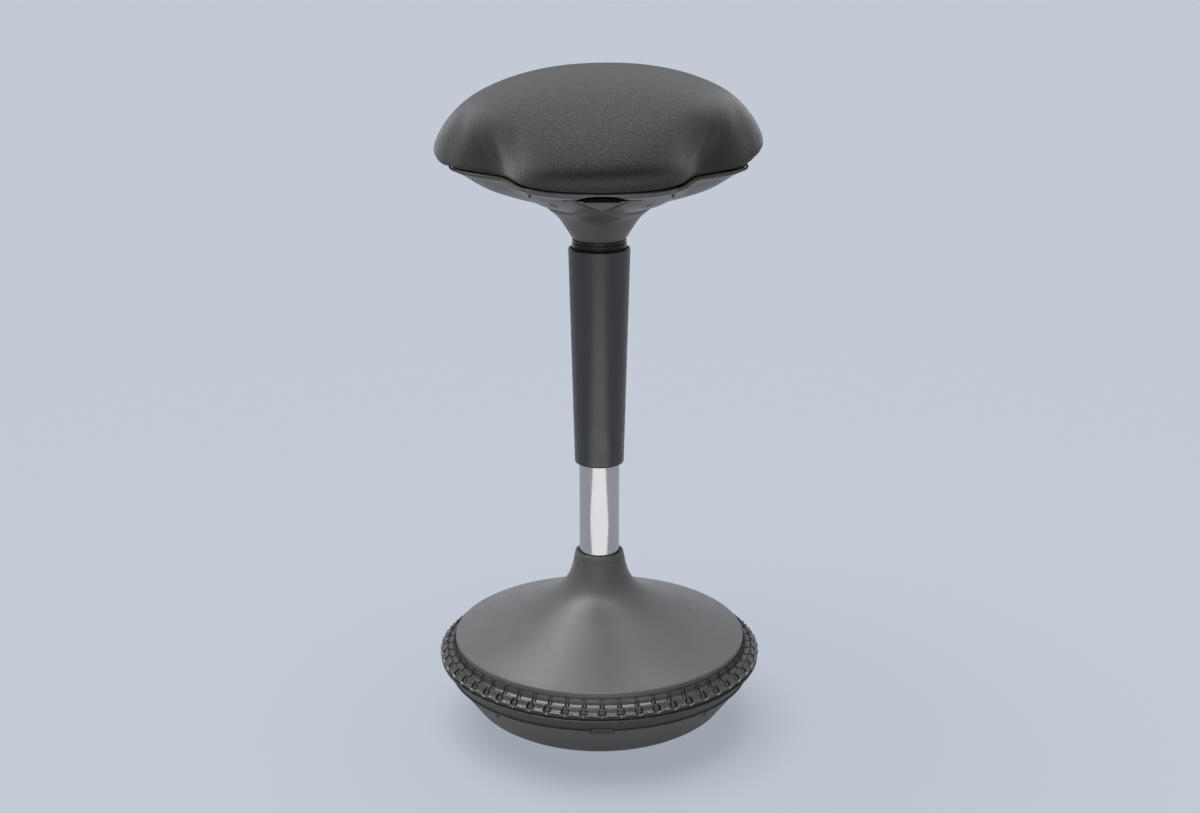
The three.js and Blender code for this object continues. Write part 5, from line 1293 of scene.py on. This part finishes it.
def neck_collar():
    """The double-rimmed ring where the tube enters the base"""
    collar = drawn("neck_collar", COLLAR_ROWS, COLUMN_SIDES)
    eased(collar, COLLAR_EDGE)
    smooth(collar, SOFT_ANGLE)
    placed(collar, "base", "black_plastic", "moulded_cover", "base_collar")


# Base


def flare_share(radius):
    """How much of the bell's flare is left at a radius"""
    return (COVER_NECK[0] - COVER_FLARE_AXIS) / (radius - COVER_FLARE_AXIS)


def cover_height(radius):
    """Height of the bell: a straight cone and a flare beside the neck"""
    edge, foot = COVER_EDGE
    cone = (edge - COVER_NECK[0]) * math.tan(COVER_SLOPE)
    flare = (COVER_NECK[1] - foot - cone) / (1 - flare_share(edge))
    slope = (edge - radius) * math.tan(COVER_SLOPE)
    return foot + slope + flare * (flare_share(radius) - flare_share(edge))


def inside_cover(radius):
    """The inner wall's row below the outer one at a radius, square to the slope"""
    rise = cover_height(radius + SLOPE_SPAN) - cover_height(radius - SLOPE_SPAN)
    change = rise / (2 * SLOPE_SPAN)
    step = COVER_WALL / math.hypot(1, change)
    return radius + change * step, cover_height(radius) - step


def base_cover():
    """The bell-shaped cover, with its rolled shoulder"""
    outside = [*COVER_SIDE]
    middle = COVER_SIDE[-1][0] - COVER_SHOULDER_ROUND
    for step in range(COVER_SHOULDER_STEPS + 1):
        angle = step / COVER_SHOULDER_STEPS * (math.pi / 2 - COVER_SLOPE)
        radius = middle + COVER_SHOULDER_ROUND * math.cos(angle)
        outside.append((radius, COVER_SHOULDER_HEIGHT + COVER_SHOULDER_ROUND * math.sin(angle)))
    span = COVER_CONE_RADIUS - COVER_NECK[0]
    shares = [1 - (step / COVER_ROWS) for step in range(COVER_ROWS + 1)]
    radii = [COVER_NECK[0] + span * share**COVER_ROWS_POWER for share in shares]
    outside += [(radius, cover_height(radius)) for radius in radii]
    inside = [inside_cover(radius) for radius in reversed(radii[:-1:COVER_INNER_ROWS_STEP])]
    inside = [row for row in inside if row[0] > COVER_INNER_START]
    neck = [(COVER_BORE, COVER_NECK[1]), (COVER_BORE, COVER_BORE_FOOT)]
    cover = drawn("base_bell", [*outside, *neck, *inside, *COVER_INNER_SIDE], WIDE_SIDES)
    smooth(cover)
    placed(cover, "base", "cover_plastic", "moulded_cover", "base_cover")


def spaced(points, step):
    """Points at even steps along a line of points"""
    out = []
    for start, end in zip(points, points[1:]):
        count = max(1, round((end - start).length / step))
        out += [start.lerp(end, index / count) for index in range(count)]
    return [*out, points[-1]]


def lengths_along(points):
    """Length of a line of points up to each of them"""
    lengths = [0]
    for before, after in zip(points, points[1:]):
        lengths.append(lengths[-1] + (after - before).length)
    return lengths


def keyhole(ahead, bulb, stem):
    """Half width of a keyhole at a distance ahead of its bulb's middle"""
    wide = math.sqrt(max(0, bulb**2 - ahead**2))
    return max(wide, stem) if ahead < 0 else wide


def notch_column(kind, ahead, along, half, gap, depth):
    """Distance of one column from a notch's middle, and how far it lies below the skin"""
    wide = keyhole(ahead, NOTCH_BULB, NOTCH_STEM)
    tongue = keyhole(ahead, NOTCH_BULB - gap, NOTCH_STEM - gap)
    tongue = min(tongue, max(0, wide - TONGUE_CLEARANCE))
    if kind in FIXED_COLUMNS:
        return FIXED_COLUMNS[kind] * half, TONGUE_SUNK.get(kind, 0) if wide > 0 else 0
    if wide <= 0:
        return CLOSED_COLUMNS[kind], 0
    depth *= smooth_step(along / NOTCH_FADE_IN)
    depth *= 1 - NOTCH_FADED * smooth_step(ahead / NOTCH_FADE_OUT)
    if tongue <= 0 and kind in OPEN_COLUMNS:
        return wide * OPEN_COLUMNS[kind], depth
    wall = min(WALL_WIDTH, wide / 3)
    return {
        "rim": (wide + RIM_COLUMN, 0),
        "edge": (wide + EDGE_COLUMN, 0),
        "wall": (wide - wall, depth),
        "root": (tongue + wall * ROOT_SHARE, depth),
        "top": (tongue, TONGUE_SUNK["top"]),
        "crown": (tongue * CROWN_SHARE, TONGUE_SUNK["crown"]),
    }[kind]


def rim_rise(across, ahead):
    """How far the skin is raised beside a notch's bulb"""
    away = math.hypot(across, ahead) - NOTCH_BULB - RIM_AWAY
    rise = max(0, 1 - abs(away) / RIM_WIDTH) ** 2
    return RIM_RISE * rise * smooth_step(ahead / RIM_FADE_IN)


def bead_free(path, along):
    """The ring's section with a straight line in place of its lower bead"""
    low, high = BEAD_LENGTHS
    first, last = (
        min(range(len(path)), key=lambda index: abs(along[index] - length))
        for length in BEAD_LENGTHS
    )
    out = []
    for point, length in zip(path, along):
        if low <= length <= high:
            point = path[first].lerp(path[last], (length - low) / (high - low))
        out.append(point)
    return out


def ring_pitch(sizes):
    """One pitch of the rubber ring, with its keyhole notch in the middle"""
    path = spaced([Vector(point) for point in RING_PATH], RING_STEP)
    along = lengths_along(path)
    plain = bead_free(path, along)
    half = math.pi * RING_PITCH_RADIUS / sizes.notches
    columns = len(NOTCH_COLUMNS) * 2 - 2
    last = len(path) - 1
    pitch = strip("notched_ring", columns, last)
    for vert in pitch.data.vertices:
        column = round((vert.co.x + 1) / 2 * columns)
        row = round((vert.co.y + 1) / 2 * last)
        side = 1 if column > columns / 2 else -1
        kind = NOTCH_COLUMNS[min(column, columns - column)]
        ahead = along[row] - NOTCH_PLACE
        across, sunk = notch_column(
            kind, ahead, along[row], half, sizes.gap / MM, sizes.depth / MM
        )
        if sunk == 0:
            sunk = -rim_rise(across, ahead)
        inside = kind in INSIDE_COLUMNS and keyhole(ahead, NOTCH_BULB, NOTCH_STEM) > 0
        point = plain[row] if inside else path[row]
        slope = path[min(row + 1, last)] - path[max(row - 1, 0)]
        place = point + Vector((slope.y, -slope.x)).normalized() * sunk
        vert.co = around(side * across / RING_PITCH_RADIUS, place.x, place.y)
    flip_outward(pitch)
    return pitch


def notched_ring(sizes):
    """The rubber ring: one pitch copied right round, closed by its back"""
    ring = ring_pitch(sizes)
    marker = turned_marker(2 * math.pi / sizes.notches)
    worked(
        ring,
        "ARRAY",
        fit_type="FIXED_COUNT",
        count=sizes.notches,
        use_relative_offset=False,
        use_object_offset=True,
        offset_object=marker,
        use_merge_vertices=True,
        use_merge_vertices_cap=True,
        merge_threshold=SAME_POINT_OF_RING * MM,
    )
    bpy.data.objects.remove(marker, do_unlink=True)
    back = [RING_PATH[-1], *RING_BACK, RING_PATH[0]]
    joined(ring, drawn("ring_back", back, WIDE_SIDES, ends="open"))
    smooth(ring, RING_SMOOTH_ANGLE)
    placed(ring, "base", "ring_rubber", "ring_rubber", "grip_ring")


def turned_marker(angle):
    """An empty turned about Z, for copies that go round"""
    marker = bpy.data.objects.new("turned_marker", None)
    bpy.context.scene.collection.objects.link(marker)
    marker.rotation_euler = (0, 0, angle)
    bpy.context.view_layer.update()
    return marker


def bowl_radius(height):
    """Outer radius of the bowl's straight wall"""
    (knee, low), (seam, high) = BOWL_KNEE, BOWL_SEAM
    return knee + (height - low) * (seam - knee) / (high - low)


def seam_tab():
    """The tab at the seam, wrapped round the skirt"""
    tab = block("tab", TAB_SIZE, TAB_PLACE)
    for vert in tab.data.vertices:
        height = vert.co.z / MM
        inward = 0 if vert.co.y < TAB_PLACE[1] * MM else TAB_THICKNESS
        angle = vert.co.x / (TAB_WRAP_RADIUS * MM)
        vert.co = around(angle, bowl_radius(height) - inward, height)
    return tab


def base_skirt():
    """The chassis: socket, web, skirt with its lip, ribs and the tab at the seam"""
    skirt = drawn("base_skirt", SKIRT_ROWS, WIDE_SIDES)
    ribs = []
    for index in range(RIBS):
        rib = prism("rib", RIB_OUTLINE, -RIB_THICKNESS / 2, RIB_THICKNESS / 2)
        rib.data.transform(Matrix.Rotation(index * 2 * math.pi / RIBS, 4, "Z"))
        ribs.append(rib)
    joined(skirt, *ribs, seam_tab())
    eased(skirt, SKIRT_EDGE)
    smooth(skirt)
    placed(skirt, "base", "black_plastic", "skirt_plastic", "base_chassis")


def rocker_height(radius):
    """Height of the rocking underside"""
    start, low = ROCKER_START
    rise = math.sqrt(ROCKER_RADIUS**2 - start**2) - math.sqrt(ROCKER_RADIUS**2 - radius**2)
    return low + rise


def lower_bowl():
    """The rocking bowl, with the slot for the tab and four screw wells"""
    rows = [
        (ROCKER_ROWS[0], BOWL_SOCKET_ROOF),
        *[(radius, rocker_height(radius)) for radius in ROCKER_ROWS],
        *BOWL_KNEE_ROWS,
        *[(bowl_radius(height), height) for height in BOWL_WALL_HEIGHTS],
        *BOWL_LIP,
        *BOWL_INSIDE,
    ]
    bowl = drawn("rocker_bowl", rows, WIDE_SIDES, ends="capped")
    cut(bowl, block("slot", BOWL_SLOT_SIZE, BOWL_SLOT_PLACE))
    for index in range(BOWL_SCREWS):
        side = 1 if index % 2 else -1
        angle = side * BOWL_SCREW_TURN + (math.pi if index > 1 else 0)
        place = around(angle, bowl_radius(BOWL_SCREW_HEIGHT), BOWL_SCREW_HEIGHT) / MM
        turn = (math.pi / 2, 0, angle)
        cut(bowl, plug("well", *BOWL_WELL, place, turn), plug("hole", *BOWL_HOLE, place, turn))
    eased(bowl, BOWL_EDGE)
    smooth(bowl)
    placed(bowl, "base", "bowl_rubber", "bowl_rubber", "lower_bowl")


def foot_disc():
    """The flat rubber foot, with its turned-down edge"""
    foot = drawn("foot_disc", FOOT_ROWS, COLUMN_SIDES, ends="capped")
    smooth(foot)
    placed(foot, "base", "pad_rubber", "pad_rubber", "foot_pad")


# Stage


def linked(name, data):
    """A lamp or camera in the scene"""
    item = bpy.data.objects.new(name, data)
    bpy.context.scene.collection.objects.link(item)
    return item


def softbox(name, place, target, size, power):
    """A soft rectangular lamp, aimed at a point and unseen by the camera"""
    data = bpy.data.lights.new(name, "AREA")
    data.shape = "RECTANGLE"
    data.size, data.size_y = size
    data.energy = power
    lamp = linked(name, data)
    lamp.location = place
    lamp.rotation_euler = (Vector(target) - Vector(place)).to_track_quat("-Z", "Y").to_euler()
    lamp.visible_camera = False
    return lamp


def seen_rays(tree):
    """1 for rays of the camera, less for mirrored ones, 0 for bounced light"""
    ray = add(tree, "LightPath")
    mirrored = add(
        tree, "Math", {"operation": "MULTIPLY"}, {1: MIRRORED}, {0: (ray, "Is Glossy Ray")}
    )
    both = {0: (ray, "Is Camera Ray"), 1: (mirrored, 0)}
    seen = add(tree, "Math", {"operation": "MAXIMUM"}, links=both)
    all_seen = {0: (seen, 0), 1: (ray, "Is Transmission Ray")}
    return add(tree, "Math", {"operation": "MAXIMUM"}, links=all_seen)


def backdrop(colour):
    """A world that lights softly, and shows its pale colour to camera and metal alike"""
    world = bpy.data.worlds.new("backdrop")
    bpy.context.scene.world = world
    world.use_nodes = True
    tree = world.node_tree
    tree.nodes.clear()
    seen = seen_rays(tree)
    shown = add(tree, "Background", sockets={"Color": (*colour, 1), "Strength": 1})
    light = add(tree, "Background", sockets={"Color": (1, 1, 1, 1), "Strength": AMBIENT})
    mix = add(tree, "MixShader", links={0: (seen, 0), 1: (light, 0), 2: (shown, 0)})
    add(tree, "OutputWorld", links={"Surface": (mix, 0)})


def floor_material(colour):
    """Matt painted floor that fades into the backdrop far from the stool"""
    material = bpy.data.materials.new("painted_floor")
    material.use_nodes = True
    tree = material.node_tree
    tree.nodes.clear()
    place = add(tree, "TexCoord")
    distance = add(tree, "VectorMath", {"operation": "LENGTH"}, links={0: (place, "Object")})
    fade = add(
        tree,
        "MapRange",
        {"interpolation_type": "SMOOTHSTEP"},
        {"From Min": FLOOR_FADE[0], "From Max": FLOOR_FADE[1]},
        {"Value": (distance, "Value")},
    )
    seen = seen_rays(tree)
    lit = add(tree, "BsdfDiffuse", sockets={"Color": (*colour, 1)})
    glow = add(tree, "Emission", sockets={"Color": (*colour, 1), "Strength": 1})
    pale = add(tree, "MixShader", sockets={0: FLOOR_GLOW}, links={1: (lit, 0), 2: (glow, 0)})
    dull = add(tree, "BsdfDiffuse", sockets={"Color": (*[FLOOR_BOUNCE] * 3, 1)})
    paint = add(tree, "MixShader", links={0: (seen, 0), 1: (dull, 0), 2: (pale, 0)})
    clear = add(tree, "BsdfTransparent")
    mix = add(tree, "MixShader", links={0: (fade, "Result"), 1: (paint, 0), 2: (clear, 0)})
    add(tree, "OutputMaterial", links={"Surface": (mix, 0)})
    return material


def make_stage(colours):
    """Floor, backdrop, lamps and camera"""
    deselect()
    bpy.ops.mesh.primitive_circle_add(vertices=WIDE_SIDES, radius=FLOOR_RADIUS, fill_type="NGON")
    floor = named("floor")
    floor.data.materials.append(floor_material(colours.floor))
    backdrop(colours.floor)
    key = bpy.data.lights.new("key", "SUN")
    key.energy = KEY_STRENGTH
    key.angle = KEY_SPREAD
    linked("key", key).rotation_euler = Vector(KEY_FROM).to_track_quat("Z", "Y").to_euler()
    softbox("front_softbox", *FRONT_PANEL)
    softbox("low_softbox", *LOW_PANEL).visible_diffuse = False
    lens = bpy.data.cameras.new("camera")
    lens.lens = CAMERA_LENS
    lens.sensor_width = CAMERA_SENSOR
    camera = linked("camera", lens)
    camera.location = CAMERA_PLACE
    camera.rotation_euler = (math.pi / 2 - CAMERA_DOWN, 0, CAMERA_TURN)
    bpy.context.scene.camera = camera
    bpy.context.scene.view_settings.view_transform = "Standard"


class STOOL_OT_finishes(bpy.types.Operator):
    """Makes the finishes and gives them to the solids that keep their shape"""

    bl_idname = "stool.finishes"
    bl_label = "Finishes"

    def execute(self, context):
        make_finishes(context.scene.stool_colours)
        dress_solids()
        return {"FINISHED"}


class STOOL_OT_pad(bpy.types.Operator):
    """Makes the three-lobed pad"""

    bl_idname = "stool.pad"
    bl_label = "Seat pad"

    def execute(self, context):
        seat_pad(context.scene.stool_sizes)
        return {"FINISHED"}


class STOOL_OT_piping(bpy.types.Operator):
    """Lays the piping under the pad"""

    bl_idname = "stool.piping"
    bl_label = "Piping"

    def execute(self, context):
        seat_piping(context.scene.stool_sizes)
        return {"FINISHED"}


class STOOL_OT_pan(bpy.types.Operator):
    """Makes the pan, its front band and its finger tray"""

    bl_idname = "stool.pan"
    bl_label = "Seat pan"

    def execute(self, context):
        seat_pan()
        front_band()
        finger_tray()
        return {"FINISHED"}


class STOOL_OT_column(bpy.types.Operator):
    """Makes the stepped ring, the sleeve, the tube and the collar"""

    bl_idname = "stool.column"
    bl_label = "Column"

    def execute(self, context):
        step_ring()
        cover_sleeve()
        chrome_tube()
        neck_collar()
        return {"FINISHED"}


class STOOL_OT_cover(bpy.types.Operator):
    """Makes the bell of the base"""

    bl_idname = "stool.cover"
    bl_label = "Base cover"

    def execute(self, context):
        base_cover()
        return {"FINISHED"}


class STOOL_OT_ring(bpy.types.Operator):
    """Makes the notched rubber ring"""

    bl_idname = "stool.ring"
    bl_label = "Notched ring"

    def execute(self, context):
        notched_ring(context.scene.stool_sizes)
        return {"FINISHED"}


class STOOL_OT_bowl(bpy.types.Operator):
    """Makes the skirt, the rocking bowl and the foot"""

    bl_idname = "stool.bowl"
    bl_label = "Skirt, bowl and foot"

    def execute(self, context):
        base_skirt()
        lower_bowl()
        foot_disc()
        return {"FINISHED"}


class STOOL_OT_stage(bpy.types.Operator):
    """Sets the floor, the backdrop, the lamps and the camera"""

    bl_idname = "stool.stage"
    bl_label = "Stage"

    def execute(self, context):
        make_stage(context.scene.stool_colours)
        return {"FINISHED"}


OPERATORS = [
    STOOL_OT_finishes,
    STOOL_OT_pad,
    STOOL_OT_piping,
    STOOL_OT_pan,
    STOOL_OT_column,
    STOOL_OT_cover,
    STOOL_OT_ring,
    STOOL_OT_bowl,
    STOOL_OT_stage,
]


class STOOL_PT_panel(bpy.types.Panel):
    """Lists the stool's sizes, colours and operators"""

    bl_idname = "STOOL_PT_panel"
    bl_label = "Wobble stool"
    bl_space_type = "VIEW_3D"
    bl_region_type = "UI"
    bl_category = "Stool"

    def draw(self, context):
        for group in (context.scene.stool_sizes, context.scene.stool_colours):
            for name in group.bl_rna.properties.keys():
                if name not in ("rna_type", "name"):
                    self.layout.prop(group, name)
        for operator in OPERATORS:
            self.layout.operator(operator.bl_idname)


CLASSES = [StoolSizes, StoolColours, *OPERATORS, STOOL_PT_panel]


def register():
    for item in CLASSES:
        bpy.utils.register_class(item)
    bpy.types.Scene.stool_sizes = PointerProperty(type=StoolSizes)
    bpy.types.Scene.stool_colours = PointerProperty(type=StoolColours)


def unregister():
    del bpy.types.Scene.stool_colours
    del bpy.types.Scene.stool_sizes
    for item in reversed(CLASSES):
        bpy.utils.unregister_class(item)


def main():
    register()
    bpy.ops.stool.finishes()
    bpy.ops.stool.pad()
    bpy.ops.stool.piping()
    bpy.ops.stool.pan()
    bpy.ops.stool.column()
    bpy.ops.stool.cover()
    bpy.ops.stool.ring()
    bpy.ops.stool.bowl()
    bpy.ops.stool.stage()


if __name__ == "__main__":
    main()
